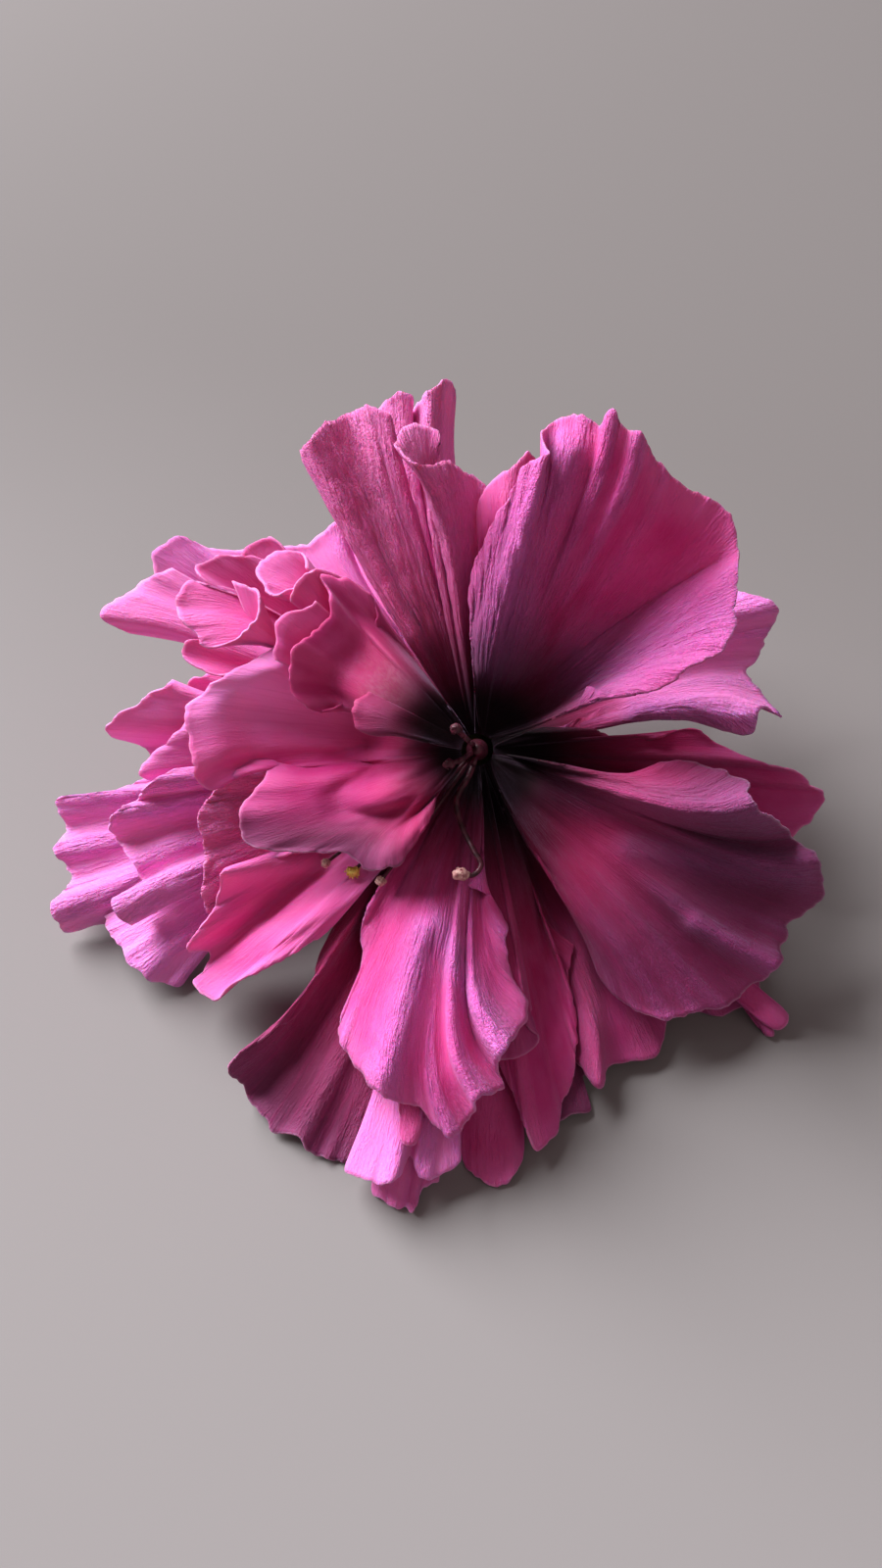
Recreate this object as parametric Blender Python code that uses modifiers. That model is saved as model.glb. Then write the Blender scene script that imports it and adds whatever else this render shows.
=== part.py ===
"""A picked double hibiscus bloom, lying on a table with its face towards the viewer.

The bloom's face leans back from the table. Its petals fan out from a short column, and they lie one over
another from the outermost guards to the innermost petaloids. Behind them sit the calyx, the epicalyx and a
short pedicel, which lies on the table.

The petals are described in the face plane of the bloom, in millimetres: right, up and out. Right and up are
read from an eye point in front of the throat, and out is the true height off the face plane.
"""

import math

import bmesh
import bpy
import numpy as np
from mathutils import Matrix

MM = 0.001

# The bloom as a whole, in millimetres and degrees.
FACE_LEAN = 48.0
EYE = 190.0
THROAT = (7.0, 2.0, 28.0)

# The petals.
PETAL_THICKNESS = 0.6
PETAL_GAP = 0.35
FOOT_RADIUS = 2.55
FOOT_HALF_ANGLE = 14.0
BREADTH_POWER = 0.85
STEEPEST = 1.3
STEEPEST_PER_MM = 1.2
EVENNESS = 0.3
MARGIN_POWER = 7.0
FOLD_POWER = 2.5
EVENING_ROUNDS = 3
SOFTENING_ROUNDS = 1

# The relief on which the petals are laid.
RELIEF_HALF = 90.0
RELIEF_CELL = 0.5
SAMPLES_PER_CELL = 10

# The column, from its root in the calyx to its tip: radius and out.
COLUMN = [(1.7, -26.2), (1.8, -20.0), (1.8, -9.0), (1.7, 0.0), (1.4, 5.0), (1.0, 8.0), (0.6, 9.0)]

# The calyx and the epicalyx behind the petals: radius and out, from the middle to the tips.
CALYX = [
    (0.0, -27.0), (2.2, -26.9), (4.4, -25.8), (5.7, -23.6),
    (6.3, -21.2), (8.0, -20.9), (10.5, -21.6), (13.0, -23.0),
]
CALYX_WHOLE_ROWS = 5
CALYX_THICKNESS = 0.7
SEPALS = 5
EPICALYX = [(0.0, -28.1), (1.8, -28.1), (2.6, -28.1), (4.2, -28.0), (6.2, -27.2), (8.0, -25.8)]
EPICALYX_WHOLE_ROWS = 3
BRACTS = 7
STEPS_PER_LOBE = 8

# The pedicel, bent down to the table: its path in world millimetres, then its radius.
PEDICEL = [
    (7.0, 21.3, 6.6, 2.3), (7.0, 22.3, 5.5, 2.0), (7.0, 23.6, 4.1, 1.6), (7.3, 25.4, 2.7, 1.45),
    (8.2, 28.5, 1.6, 1.4), (10.0, 33.0, 1.3, 1.4), (12.5, 38.0, 1.3, 1.4), (14.5, 42.0, 1.35, 1.5),
]

FILAMENT_SPANS = 8

# Filaments, by the petal that lies next in front of them: a path, its radius and its anther's radius.
FILAMENTS = {
    "left_main": [
        ([(-0.5, -0.7, -3.5), (-7.0, -10.0, 2.0), (-15.0, -20.4, 8.0)], 0.3, 0.65),
        ([(-0.6, -0.6, -3.5), (-9.0, -9.0, 2.0), (-19.3, -18.9, 8.0)], 0.3, 0.75),
        ([(-0.7, -0.4, -3.5), (-11.0, -8.0, 2.0), (-23.5, -17.6, 8.0)], 0.3, 0.6),
    ],
    "in_front": [
        ([(0.0, -0.3, 7.0), (-1.2, -3.8, 9.5), (-3.2, -7.6, 11.0), (-2.6, -11.4, 12.0), (-0.6, -15.5, 14.5),
          (0.6, -17.8, 15.5), (-0.6, -19.4, 16.0), (-2.5, -19.3, 16.3)], 0.45, 0.95),
        ([(-0.2, 0.0, 6.5), (-2.6, -1.6, 9.0), (-4.4, -2.2, 10.5)], 0.4, 0.7),
        ([(0.0, 0.2, 6.5), (-1.8, 1.8, 9.0), (-3.3, 3.2, 10.5)], 0.4, 0.7),
    ],
}

PINK = (0.66, 0.10, 0.33)
PALE_PINK = (0.72, 0.35, 0.40)
LEAF_GREEN = (0.16, 0.24, 0.06)


def face_axes():
    """Unit vectors of the face plane in the world: right, up and out."""
    lean = math.radians(FACE_LEAN)
    right = np.array((1.0, 0.0, 0.0))
    up = np.array((0.0, math.sin(lean), math.cos(lean)))
    out = np.array((0.0, -math.cos(lean), math.sin(lean)))
    return np.array((right, up, out))


def to_world(seen):
    """World positions, in metres, of points given as right, up and out."""
    seen = np.asarray(seen, float)
    nearer = 1.0 - seen[..., 2:3] / EYE
    flat = np.concatenate((seen[..., :2] * nearer, seen[..., 2:3]), axis=-1)
    return (np.array(THROAT) + flat @ face_axes()) * MM


def table_under(up):
    """How far out the middle of a petal that touches the table is, seen at this height up."""
    lean = math.radians(FACE_LEAN)
    height = THROAT[2] - PETAL_THICKNESS / 2
    return (-height - math.cos(lean) * up) / (math.sin(lean) - math.cos(lean) * up / EYE)


class Relief:
    """The frontmost surface of what has been laid so far, as a height map over the face plane."""

    def __init__(self):
        self.side = int(2 * RELIEF_HALF / RELIEF_CELL) + 1
        self.map = np.full((self.side, self.side), -1e3)

    def cells(self, seen):
        index = np.rint((seen[..., :2] + RELIEF_HALF) / RELIEF_CELL).astype(int)
        return np.clip(index, 0, self.side - 1)

    def rolled(self, radius):
        """The map as a ball of this radius feels it: the height of the ball's middle."""
        reach = int(radius / RELIEF_CELL)
        raised = np.full_like(self.map, -1e3)
        for i in range(-reach, reach + 1):
            for j in range(-reach, reach + 1):
                flat = math.hypot(i, j) * RELIEF_CELL
                if flat <= radius:
                    lift = math.sqrt(radius * radius - flat * flat)
                    raised = np.maximum(raised, np.roll(self.map, (i, j), (0, 1)) + lift)
        return raised

    def add(self, seen):
        index = self.cells(seen)
        np.maximum.at(self.map, (index[..., 0], index[..., 1]), seen[..., 2])


def through(points, spans):
    """A smooth curve through the points, with this many steps from each to the next."""
    points = np.asarray(points, float)
    padded = np.vstack((2 * points[0] - points[1], points, 2 * points[-1] - points[-2]))
    curve = []
    for i in range(len(points) - 1):
        a, b, c, d = padded[i : i + 4]
        for k in range(spans):
            t = k / spans
            slope = (c - a) / 2
            square = a - 2.5 * b + 2 * c - d / 2
            cube = (d - a) / 2 + 1.5 * (b - c)
            curve.append(b + slope * t + square * t**2 + cube * t**3)
    curve.append(points[-1])
    return np.array(curve)


def unfolded(edge):
    """The margin turned about the throat, so that every point lies counter-clockwise of the one before."""
    clocks = np.unwrap(np.arctan2(edge[:, 1], edge[:, 0]))
    highest_so_far = np.maximum.accumulate(clocks)
    lowest_to_come = np.minimum.accumulate(clocks[::-1])[::-1]
    even = np.linspace(clocks.min(), clocks.max(), len(clocks))
    steady = (1 - EVENNESS) * (highest_so_far + lowest_to_come) / 2 + EVENNESS * even
    reach = np.hypot(edge[:, 0], edge[:, 1])
    return np.stack((reach * np.cos(steady), reach * np.sin(steady)), axis=1)


def evened(values):
    """The values along a margin without their short waves."""
    for _ in range(EVENING_ROUNDS):
        padded = np.pad(values, 1, mode="edge")
        values = (padded[:-2] + 2 * values + padded[2:]) / 4
    return values


def petal_grid(margin, foot_out, bow, spans, rows):
    """Points of a petal, across by along, whose veins run from its foot on the column to its margin."""
    edge = through(margin, spans)
    middle = edge[:, :2].mean(axis=0)
    clock = math.atan2(middle[1], middle[0])
    half = math.radians(FOOT_HALF_ANGLE)
    angles = clock + np.linspace(-half, half, len(edge))
    round_column = np.stack((np.cos(angles), np.sin(angles)), axis=1)
    foot = np.column_stack((FOOT_RADIUS * round_column, np.full(len(edge), foot_out)))
    along = np.linspace(0.0, 1.0, rows + 1)[None, :, None]
    aim = edge.copy()
    aim[:, :2] = unfolded(edge)
    aim[:, 2] = evened(edge[:, 2])
    grid = foot[:, None, :] * (1 - along) + aim[:, None, :] * along
    ahead = np.array((math.cos(clock), math.sin(clock)))
    beside = np.array((-ahead[1], ahead[0]))
    sideways = (aim[:, :2] - foot[:, :2]) @ beside
    broader = along[..., 0] ** BREADTH_POWER - along[..., 0]
    grid[..., :2] += (sideways[:, None] * broader)[..., None] * beside
    grid += (edge - aim)[:, None, :] * along ** np.array((MARGIN_POWER, MARGIN_POWER, FOLD_POWER))
    grid[..., 2] += bow * np.sin(math.pi * along[..., 0])
    return grid


def facets(grid):
    """Fine points on the two triangles of every cell, as cells across, cells along, samples and 3."""
    steps = (np.arange(SAMPLES_PER_CELL + 1)) / SAMPLES_PER_CELL
    a, b = (x.ravel()[None, None, :, None] for x in np.meshgrid(steps, steps))
    near, across = grid[:-1, :-1, None], grid[1:, :-1, None]
    along, far = grid[:-1, 1:, None], grid[1:, 1:, None]
    first = near + a * (across - near) + b * (along - near)
    second = far + (1 - a) * (along - far) + (1 - b) * (across - far)
    return np.where(a + b <= 1, first, second)


def ease(grid):
    """Raises the low side of every fold steeper than STEEPEST, so that the petal keeps its thickness."""
    grid[:, 0, 2] = grid[:, 0, 2].max()
    out = grid[..., 2]
    across = np.hypot(*np.moveaxis(np.diff(grid[..., :2], axis=0), -1, 0))
    across *= np.minimum(STEEPEST, STEEPEST_PER_MM * across)
    along = STEEPEST * np.hypot(*np.moveaxis(np.diff(grid[..., :2], axis=1), -1, 0))
    for _ in range(max(grid.shape)):
        out[1:] = np.maximum(out[1:], out[:-1] - across)
        out[:-1] = np.maximum(out[:-1], out[1:] - across)
        out[:, 1:] = np.maximum(out[:, 1:], out[:, :-1] - along)
        out[:, :-1] = np.maximum(out[:, :-1], out[:, 1:] - along)


def softened(lift):
    """A lift across a petal that is nowhere below the given one and has no sharp steps."""
    for _ in range(SOFTENING_ROUNDS):
        padded = np.pad(lift, ((1, 1), (0, 0)), mode="edge")
        lift = np.maximum(np.maximum(padded[:-2], padded[2:]), lift)
    for _ in range(SOFTENING_ROUNDS):
        padded = np.pad(lift, ((1, 1), (0, 0)), mode="edge")
        lift = (padded[:-2] + 2 * lift + padded[2:]) / 4
    return lift


def lay(grid, relief):
    """Raises the petal off the table and off what lies behind it, then adds it to the relief."""
    rolled = relief.rolled(PETAL_THICKNESS + PETAL_GAP)
    fine = facets(grid)
    index = relief.cells(fine)
    least = np.maximum(rolled[index[..., 0], index[..., 1]], table_under(fine[..., 1]))
    short = np.maximum(least - fine[..., 2], 0.0).max(axis=2)
    lift = np.zeros(grid.shape[:2])
    for i in (0, 1):
        for j in (0, 1):
            corner = lift[i : i + short.shape[0], j : j + short.shape[1]]
            np.maximum(corner, short, out=corner)
    grid[..., 2] += softened(lift)
    ease(grid)
    relief.add(facets(grid))


# Each petal: its margin counter-clockwise, the out of its foot, how far it bows out, and its cells.
PETALS = {
    "guard_back": dict(
        margin=[(30, 30, -32), (22, 40, -32), (12, 43, -30), (2, 37, -30), (-8, 44, -32),
                (-17, 44, -31), (-22, 33, -28)],
        foot=-18, bow=3, spans=2, rows=7,
    ),
    "guard_back_left": dict(
        margin=[(-17, 22, -14), (-19, 29, -14), (-21.5, 35, -12), (-26, 32, -16), (-33, 31, -18),
                (-41, 31, -16), (-46, 33, -13), (-50, 31, -14), (-50, 26, -18), (-46, 19, -20),
                (-42, 13, -21)],
        foot=-18, bow=3, spans=1, rows=8,
    ),
    "guard_left": dict(
        margin=[(-50, -4, -16), (-58, -7, -14), (-65, -7.5, -12), (-63.5, -12, -14), (-65.5, -16, -11),
                (-62.5, -20, -12), (-66, -24.5, -7), (-63.5, -28, -10), (-58, -27, -12),
                (-52, -29, -12)],
        foot=-18, bow=3, spans=1, rows=8,
    ),
    "guard_front_left": dict(
        margin=[(-58, -26, -11), (-56, -30, -7), (-53, -34, -4), (-50, -36, -2.5), (-46, -36.5, -2.5),
                (-45, -32, -4.5), (-43, -27, -6)],
        foot=-18, bow=3, spans=1, rows=8,
    ),
    "guard_front_right": dict(
        margin=[(4, -54, 9), (9, -58.5, 12.5), (13.5, -57.3, 11.5), (17.5, -56, 10.5), (16, -52, 7.5),
                (21, -47, 4), (27, -43, 1)],
        foot=-18, bow=3, spans=1, rows=8,
    ),
    "guard_right": dict(
        margin=[(26, -38, -2), (33, -40, -1), (38, -41.5, 0), (42, -40, 0), (44, -43.5, 2),
                (46, -44.5, 2.4), (44.5, -40, 0), (43, -32, -4), (44, -22, -10), (42, -12, -14)],
        foot=-18, bow=3, spans=1, rows=8,
    ),
    "guard_back_right": dict(
        margin=[(13, 3.6, -13), (22, 7, -15), (30, 6.5, -16), (37, 3.5, -15), (42, 2.8, -14),
                (44.5, 6.5, -15), (47, 5, -18), (43.5, 9.5, -20), (42, 12, -23), (44, 16, -25),
                (46.5, 21.5, -23), (44, 23.5, -24), (38, 26, -27), (34, 34, -29)],
        foot=-17, bow=3, spans=1, rows=8,
    ),
    "back_tip": dict(
        margin=[(-4.5, 44, -20), (-4, 51, -20), (-3.5, 55.5, -19), (-5, 57.6, -17), (-7.5, 55.5, -15),
                (-10, 52.5, -20), (-10.5, 55, -17), (-13, 55.3, -17), (-16, 52, -20), (-20, 48, -22),
                (-23, 41, -24)],
        foot=-16, bow=3, spans=1, rows=8,
    ),
    "left_tongue": dict(
        margin=[(-47, 28, -12), (-52, 26, -12), (-58, 21.5, -8), (-57, 19.5, -9), (-52, 18, -12),
                (-46, 20, -14)],
        foot=-15, bow=2, spans=1, rows=7,
    ),
    "left_fold": dict(
        margin=[(-38, 15, -14), (-42, 11.5, -12), (-44.5, 11, -11), (-45.3, 8, -12), (-45, 4, -13)],
        foot=-15, bow=2, spans=1, rows=6,
    ),
    "left_point": dict(
        margin=[(-46.3, 7, -12), (-47, 10.5, -12), (-48.5, 10, -9), (-53, 7, -9), (-57, 4.5, -7),
                (-57.5, 2.5, -9), (-52, 0.5, -11), (-49.5, -1.5, -12)],
        foot=-15, bow=2, spans=1, rows=7,
    ),
    "left_band": dict(
        margin=[(-44, 6, -6), (-46, 3, -5), (-50, -0.5, -5), (-52.7, -3.5, -4), (-51, -4.7, -7),
                (-46, -6, -9)],
        foot=-14, bow=2, spans=1, rows=7,
    ),
    "left_pleats": dict(
        margin=[(-47, -3, -7), (-51.5, -5.5, -5), (-53, -8, -8), (-57.3, -10.5, -5), (-55.5, -14, -9),
                (-53.5, -18, -6), (-52.5, -21, -9), (-56.5, -23.5, -3), (-54, -26.8, -5),
                (-50, -25, -9), (-45, -22, -10)],
        foot=-14, bow=2, spans=1, rows=8,
    ),
    "front_left": dict(
        margin=[(-20, -24, 6), (-24, -31, 9), (-27, -40, 12), (-33, -44.5, 14), (-38.5, -49, 14),
                (-35.5, -53.5, 10), (-31.5, -59, 13), (-28, -60.5, 15), (-25, -62.5, 14), (-20, -63.5, 15),
                (-15, -60, 13)],
        foot=-14, bow=7, spans=1, rows=8,
    ),
    "front_foot": dict(
        margin=[(-16, -66, 17), (-16, -69, 18.6), (-12.5, -71, 19.8), (-11, -70.5, 19.4),
                (-10, -71.5, 20.1), (-8.5, -68.5, 18), (-6, -67, 17)],
        foot=-14, bow=3, spans=1, rows=7,
    ),
    "front_hem": dict(
        margin=[(-3, -57, 11), (-2, -64, 15.5), (1, -67, 17.5), (4.5, -67, 17.5), (7, -63.5, 15.5),
                (7, -57, 12)],
        foot=-14, bow=3, spans=1, rows=7,
    ),
    "front_frill": dict(
        margin=[(-16, -55, 12), (-18.5, -61, 14.5), (-20.2, -64.7, 17), (-17.5, -67, 18.5),
                (-13, -67, 20), (-10.5, -63, 16), (-9, -66.5, 18), (-6, -66, 18), (-2.7, -63.5, 18),
                (-5, -58, 14)],
        foot=-13, bow=3, spans=1, rows=8,
    ),
    "right_tongue": dict(
        margin=[(41, -39.5, 1), (45, -42.8, 2.5), (47, -43.3, 3), (48.3, -42.2, 3), (47.5, -40.3, 2),
                (43, -37, 0)],
        foot=-14, bow=3, spans=1, rows=7,
    ),
    "right_front": dict(
        margin=[(14.5, -30, 2), (13.8, -40, 4), (14.2, -46.5, 6.5), (19, -52.3, 9.5), (20.5, -49, 6.5),
                (27, -47.6, 6), (29, -43.5, 3.5), (29, -36, 1)],
        foot=-13, bow=3, spans=1, rows=8,
    ),
    "front_right": dict(
        margin=[(1, -44, 8), (5.5, -53, 11), (8.3, -61, 15), (9.8, -61.8, 15.5), (12.4, -59, 13),
                (13, -54.5, 10), (15, -50.5, 8), (15, -40, 5), (11, -28, 3)],
        foot=-12, bow=3, spans=1, rows=8,
    ),
    "right_back": dict(
        margin=[(48, -14, -2), (52, -10.5, -4), (54, -7, -5), (51.5, -5.5, -3), (50, -3.5, -2),
                (44, -2, -1), (39, 0, -4), (34, 3.2, -5), (28.5, 2, -4), (23, 0.8, -7), (18.3, 3, -6),
                (10, 3.4, -8)],
        foot=-12, bow=3, spans=1, rows=8,
    ),
    "upright_left": dict(
        margin=[(-12, 44, -9), (-13.3, 50, -6), (-14, 52.5, -2), (-17, 53, -6), (-20.5, 51.7, -8),
                (-24.8, 50, -6), (-26, 48.3, 0), (-27.2, 46.5, -2), (-26, 43, -5)],
        foot=-11, bow=3, spans=1, rows=8,
    ),
    "upright_right": dict(
        margin=[(4, 35, -7), (3, 38.5, -6), (-1, 42.3, -3), (-5, 44.3, 2), (-9, 44, 6),
                (-11.7, 46.5, 4), (-12.5, 48.8, 1), (-11, 50, -3), (-8, 50.5, -4), (-6, 49.5, -4),
                (-5.7, 46.5, -4)],
        foot=-10, bow=3, spans=1, rows=8,
    ),
    "upright_middle": dict(
        margin=[(11, 43, -10), (8, 45.8, -9), (5, 43.3, -10), (1.3, 40.6, -12), (0, 36, -12),
                (1, 30, -12)],
        foot=-12, bow=2, spans=1, rows=7,
    ),
    "rose_back": dict(
        margin=[(-27, 28, -4), (-29.5, 30.5, -3), (-31, 32.3, -4), (-34, 32.8, -4), (-36.5, 30.5, -3),
                (-37, 27, -4)],
        foot=-11, bow=2, spans=1, rows=7,
    ),
    "rose_left": dict(
        margin=[(-33, 29.5, 0), (-36.5, 30, 2), (-41, 30, 3), (-43.5, 28, 4), (-42, 26, 5),
                (-38, 25, 4)],
        foot=-11, bow=2, spans=1, rows=7,
    ),
    "rose_hem": dict(
        margin=[(-42, 17, 2), (-45, 17, 3), (-46, 15.3, 3), (-44, 13, 4), (-40, 11.5, 5),
                (-36, 12.5, 5)],
        foot=-11, bow=2, spans=1, rows=7,
    ),
    "rose_mouth_left": dict(
        margin=[(-41, 25.3, 2), (-45, 26, 2), (-46.5, 22, 4), (-44, 18, 7), (-41.5, 15.8, 10),
                (-37, 18, 11), (-34, 21.5, 11), (-34.3, 25, 9), (-38, 26.3, 7)],
        foot=-10, bow=2, spans=1, rows=7,
    ),
    "rose_mouth_right": dict(
        margin=[(-26.3, 28, 6), (-27.5, 30.8, 3), (-31, 30.5, 3), (-33.8, 28.3, 6), (-33, 25, 9),
                (-31.5, 24, 11), (-28.5, 25.3, 11), (-25.5, 27.5, 9)],
        foot=-9, bow=2, spans=1, rows=7,
    ),
    "rose_wall": dict(
        margin=[(-16, 21.5, 7), (-16.5, 24, 6), (-20, 26.3, 5), (-25, 28, 8), (-27.5, 26, 9),
                (-29, 23, 8)],
        foot=-9, bow=2, spans=1, rows=7,
    ),
    "front_side": dict(
        margin=[(3, -48, 9), (6.5, -47.6, 9), (9.7, -45.3, 8), (7.5, -42.5, 8), (8.3, -40, 7)],
        foot=-11, bow=2, spans=1, rows=6,
    ),
    "front_tongue": dict(
        margin=[(-12.2, -55, 17), (-11.7, -60, 19), (-10.3, -61.2, 19.5), (-9, -60, 19), (-9, -55, 17)],
        foot=-11, bow=3, spans=1, rows=7,
    ),
    "low_left_rim": dict(
        margin=[(-33, -2, 2), (-38, -4, 3), (-41.5, -7, 4), (-43.7, -11, 4), (-42, -15, 2.5),
                (-42.5, -20, 2.5), (-41.5, -25, 1.5), (-37, -28, -1)],
        foot=-11, bow=2, spans=1, rows=8,
    ),
    "low_left": dict(
        margin=[(-28, -16, 4), (-37, -17.8, 5), (-40, -19.5, 5), (-40.5, -24, 3), (-45, -30.5, 2),
                (-41.5, -31.2, -1), (-42, -34, 0), (-44, -36.3, 2), (-40.8, -39, 2), (-38, -36.5, -1),
                (-30, -32.5, -2), (-23, -28, -4)],
        foot=-10, bow=2, spans=1, rows=8,
    ),
    "front_middle": dict(
        margin=[(-14.5, -20, 8), (-18, -27, 8), (-18, -34, 9), (-21.3, -43, 10), (-18.5, -49.5, 12),
                (-14.5, -53.5, 15), (-9, -55.5, 13), (-4, -60.5, 15), (-1, -57, 13), (0.3, -54.3, 17),
                (4, -52.8, 14), (3, -49, 12), (4.2, -46.8, 17), (8, -40.5, 11), (5, -34.5, 9),
                (4.3, -27, 8), (1, -22.3, 8), (-4, -20.5, 7)],
        foot=-9, bow=4, spans=1, rows=9,
    ),
    "right_main": dict(
        margin=[(8, -15, 3), (16.5, -27, 6), (19, -35, 8), (24.5, -40.3, 9), (30, -41.8, 10),
                (37.3, -40, 8), (42, -37, 5), (46.5, -33.8, 9), (48.5, -27, 4), (53.8, -22.5, 3),
                (52.8, -17.5, 8), (50, -14.5, 3), (47, -11.5, 10), (43, -8.5, 17), (41.5, -5, 13),
                (36, -2.8, 10), (29, -2, 8), (24, -4.3, 6), (15, -6.3, -1)],
        foot=-8, bow=8, spans=1, rows=9,
    ),
    "upright_fan": dict(
        margin=[(17, 10, 8), (24, 8.7, 14), (28.5, 9.3, 16), (33, 12.8, 15), (38.5, 15.5, 12.5),
                (40, 21, 7), (40.7, 30, 1), (39, 36.3, -2), (33, 40.2, 0), (28, 44.5, 3), (25.3, 49, 6),
                (23, 49.3, 5), (21, 52.7, 7), (19, 50.5, 5), (16.5, 52, 4), (12, 51.2, 0),
                (9.8, 48.5, 2), (10.7, 45.4, 9), (8, 44.5, 9), (5.5, 40.5, 7), (1, 32, 4), (-1, 26, 1),
                (-0.5, 18, -2)],
        foot=-8, bow=3, spans=1, rows=9,
    ),
    "left_main": dict(
        margin=[(-31, 16, 4), (-38, 12, 4), (-42.5, 9, 3), (-45.5, 5, 4), (-44, -1, 5),
                (-43.5, -4.5, 3), (-41, -6.3, 3), (-38.5, -3.5, 4), (-34, -0.7, 3), (-32.5, -4, 6),
                (-37, -10, 9), (-35, -15, 10), (-28, -16, 11), (-20, -16.3, 12), (-16.5, -19.3, 12),
                (-11, -16.5, 13), (-7, -10, 11), (-7, -5, 7)],
        foot=-7, bow=6, spans=1, rows=9,
    ),
    "rose_inner": dict(
        margin=[(-25.3, 23.3, 10), (-27, 22, 9), (-30, 21, 8), (-31.5, 18, 7), (-31.5, 14, 6)],
        foot=-7, bow=2, spans=1, rows=6,
    ),
    "rose_lobe": dict(
        margin=[(-15.5, 19, 8), (-16.4, 24, 8), (-20, 26.2, 8), (-24.4, 27.2, 8), (-22.6, 23.6, 10),
                (-24, 20, 11), (-27.6, 16.8, 12), (-29.3, 13, 13), (-28.6, 9, 13.5), (-25.8, 6.1, 14),
                (-22.3, 6.3, 13.5), (-18.7, 8.2, 12)],
        foot=-6, bow=2, spans=1, rows=7,
    ),
    "rose_small": dict(
        margin=[(-17, 9, 11), (-19.2, 6.5, 13), (-18, 3, 14), (-15.5, 2.2, 14), (-13, 3.2, 12)],
        foot=-5, bow=2, spans=1, rows=5,
    ),
}


def material(name, colour, roughness):
    made = bpy.data.materials.new(name)
    made.use_nodes = True
    shader = made.node_tree.nodes["Principled BSDF"]
    shader.inputs["Base Color"].default_value = (*colour, 1.0)
    shader.inputs["Roughness"].default_value = roughness
    shader.inputs["Metallic"].default_value = 0.0
    return made


def sheet_object(name, sheet, thickness, finish, home):
    """An object from an open bmesh sheet, thickened by the same amount on both sides."""
    mesh = bpy.data.meshes.new(name)
    sheet.to_mesh(mesh)
    sheet.free()
    made = bpy.data.objects.new(name, mesh)
    home.objects.link(made)
    mesh.materials.append(finish)
    mesh.shade_smooth()
    thicken = made.modifiers.new("thickness", "SOLIDIFY")
    thicken.thickness = thickness * MM
    thicken.offset = 0.0
    return made


def petal_object(name, grid, finish, home):
    """A petal: triangles through the grid, which are split the same way all over."""
    across, along = grid.shape[0] - 1, grid.shape[1] - 1
    sheet = bmesh.new()
    world = to_world(grid)
    points = [[sheet.verts.new(world[i, j]) for j in range(along + 1)] for i in range(across + 1)]
    for i in range(across):
        for j in range(along):
            near, far = points[i][j], points[i + 1][j + 1]
            side, ahead = points[i + 1][j], points[i][j + 1]
            sheet.faces.new((near, ahead, side))
            sheet.faces.new((far, side, ahead))
    return sheet_object(name, sheet, PETAL_THICKNESS, finish, home)


def star_cup(name, profile, whole_rows, lobes, turn, finish, home):
    """A cup turned about the bloom's axis, whose rim is drawn out into pointed lobes."""
    steps = lobes * STEPS_PER_LOBE
    rim = profile[whole_rows - 1][0]
    cup = bmesh.new()
    rows = []
    for radius, out in profile[1:]:
        row = []
        for k in range(steps):
            angle = 2 * math.pi * k / steps
            point = abs(math.cos(lobes * angle / 2)) ** 1.5
            drawn = radius if radius <= rim else rim + (radius - rim) * (0.18 + 0.82 * point)
            drooped = out if radius <= rim else profile[whole_rows - 1][1] * (1 - point) + out * point
            clock = angle + math.radians(turn)
            row.append(cup.verts.new(to_world((drawn * math.cos(clock), drawn * math.sin(clock), drooped))))
        rows.append(row)
    middle = cup.verts.new(to_world((0.0, 0.0, profile[0][1])))
    for k in range(steps):
        following = (k + 1) % steps
        cup.faces.new((middle, rows[0][k], rows[0][following]))
        for inner, outer in zip(rows, rows[1:]):
            cup.faces.new((inner[k], outer[k], inner[following]))
            cup.faces.new((outer[following], inner[following], outer[k]))
    return sheet_object(name, cup, CALYX_THICKNESS, finish, home)


def rod(name, path, radii, sides, home):
    """A round rod with closed ends along a path in metres, as a mesh."""
    curve = bpy.data.curves.new(name, "CURVE")
    curve.dimensions = "3D"
    curve.bevel_depth = MM
    curve.bevel_resolution = (sides - 4) // 2
    curve.use_fill_caps = True
    spline = curve.splines.new("POLY")
    spline.points.add(len(path) - 1)
    for point, place, radius in zip(spline.points, path, radii):
        point.co = (*place, 1.0)
        point.radius = radius
    drawn = bpy.data.objects.new(name + "_path", curve)
    bpy.context.scene.collection.objects.link(drawn)
    bpy.context.view_layer.update()
    mesh = bpy.data.meshes.new_from_object(drawn.evaluated_get(bpy.context.evaluated_depsgraph_get()))
    bpy.data.objects.remove(drawn)
    closed = bmesh.new()
    closed.from_mesh(mesh)
    bmesh.ops.remove_doubles(closed, verts=closed.verts, dist=0.00001)
    bmesh.ops.recalc_face_normals(closed, faces=closed.faces)
    closed.to_mesh(mesh)
    closed.free()
    made = bpy.data.objects.new(name, mesh)
    home.objects.link(made)
    return made


def lay_filament(points, radius, relief):
    """Raises a filament off what lies behind it, then adds it to the relief."""
    path = through(points, FILAMENT_SPANS)
    rolled = relief.rolled(radius + PETAL_THICKNESS / 2 + PETAL_GAP)
    index = relief.cells(path)
    short = np.maximum(rolled[index[:, 0], index[:, 1]], table_under(path[:, 1])) - path[:, 2]
    short[np.hypot(path[:, 0], path[:, 1]) < FOOT_RADIUS / 2] = 0.0
    raised = np.maximum(short, 0.0)
    raised[1:] = np.maximum(raised[1:], raised[:-1])
    path[:, 2] += raised
    steps = np.linspace(0.0, len(path) - 1, 20 * len(path))
    fine = np.stack([np.interp(steps, np.arange(len(path)), path[:, k]) for k in range(3)], axis=1)
    for side in (-radius, 0.0, radius):
        for over in (-radius, 0.0, radius):
            relief.add(fine + (side, over, radius))
    return path


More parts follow.
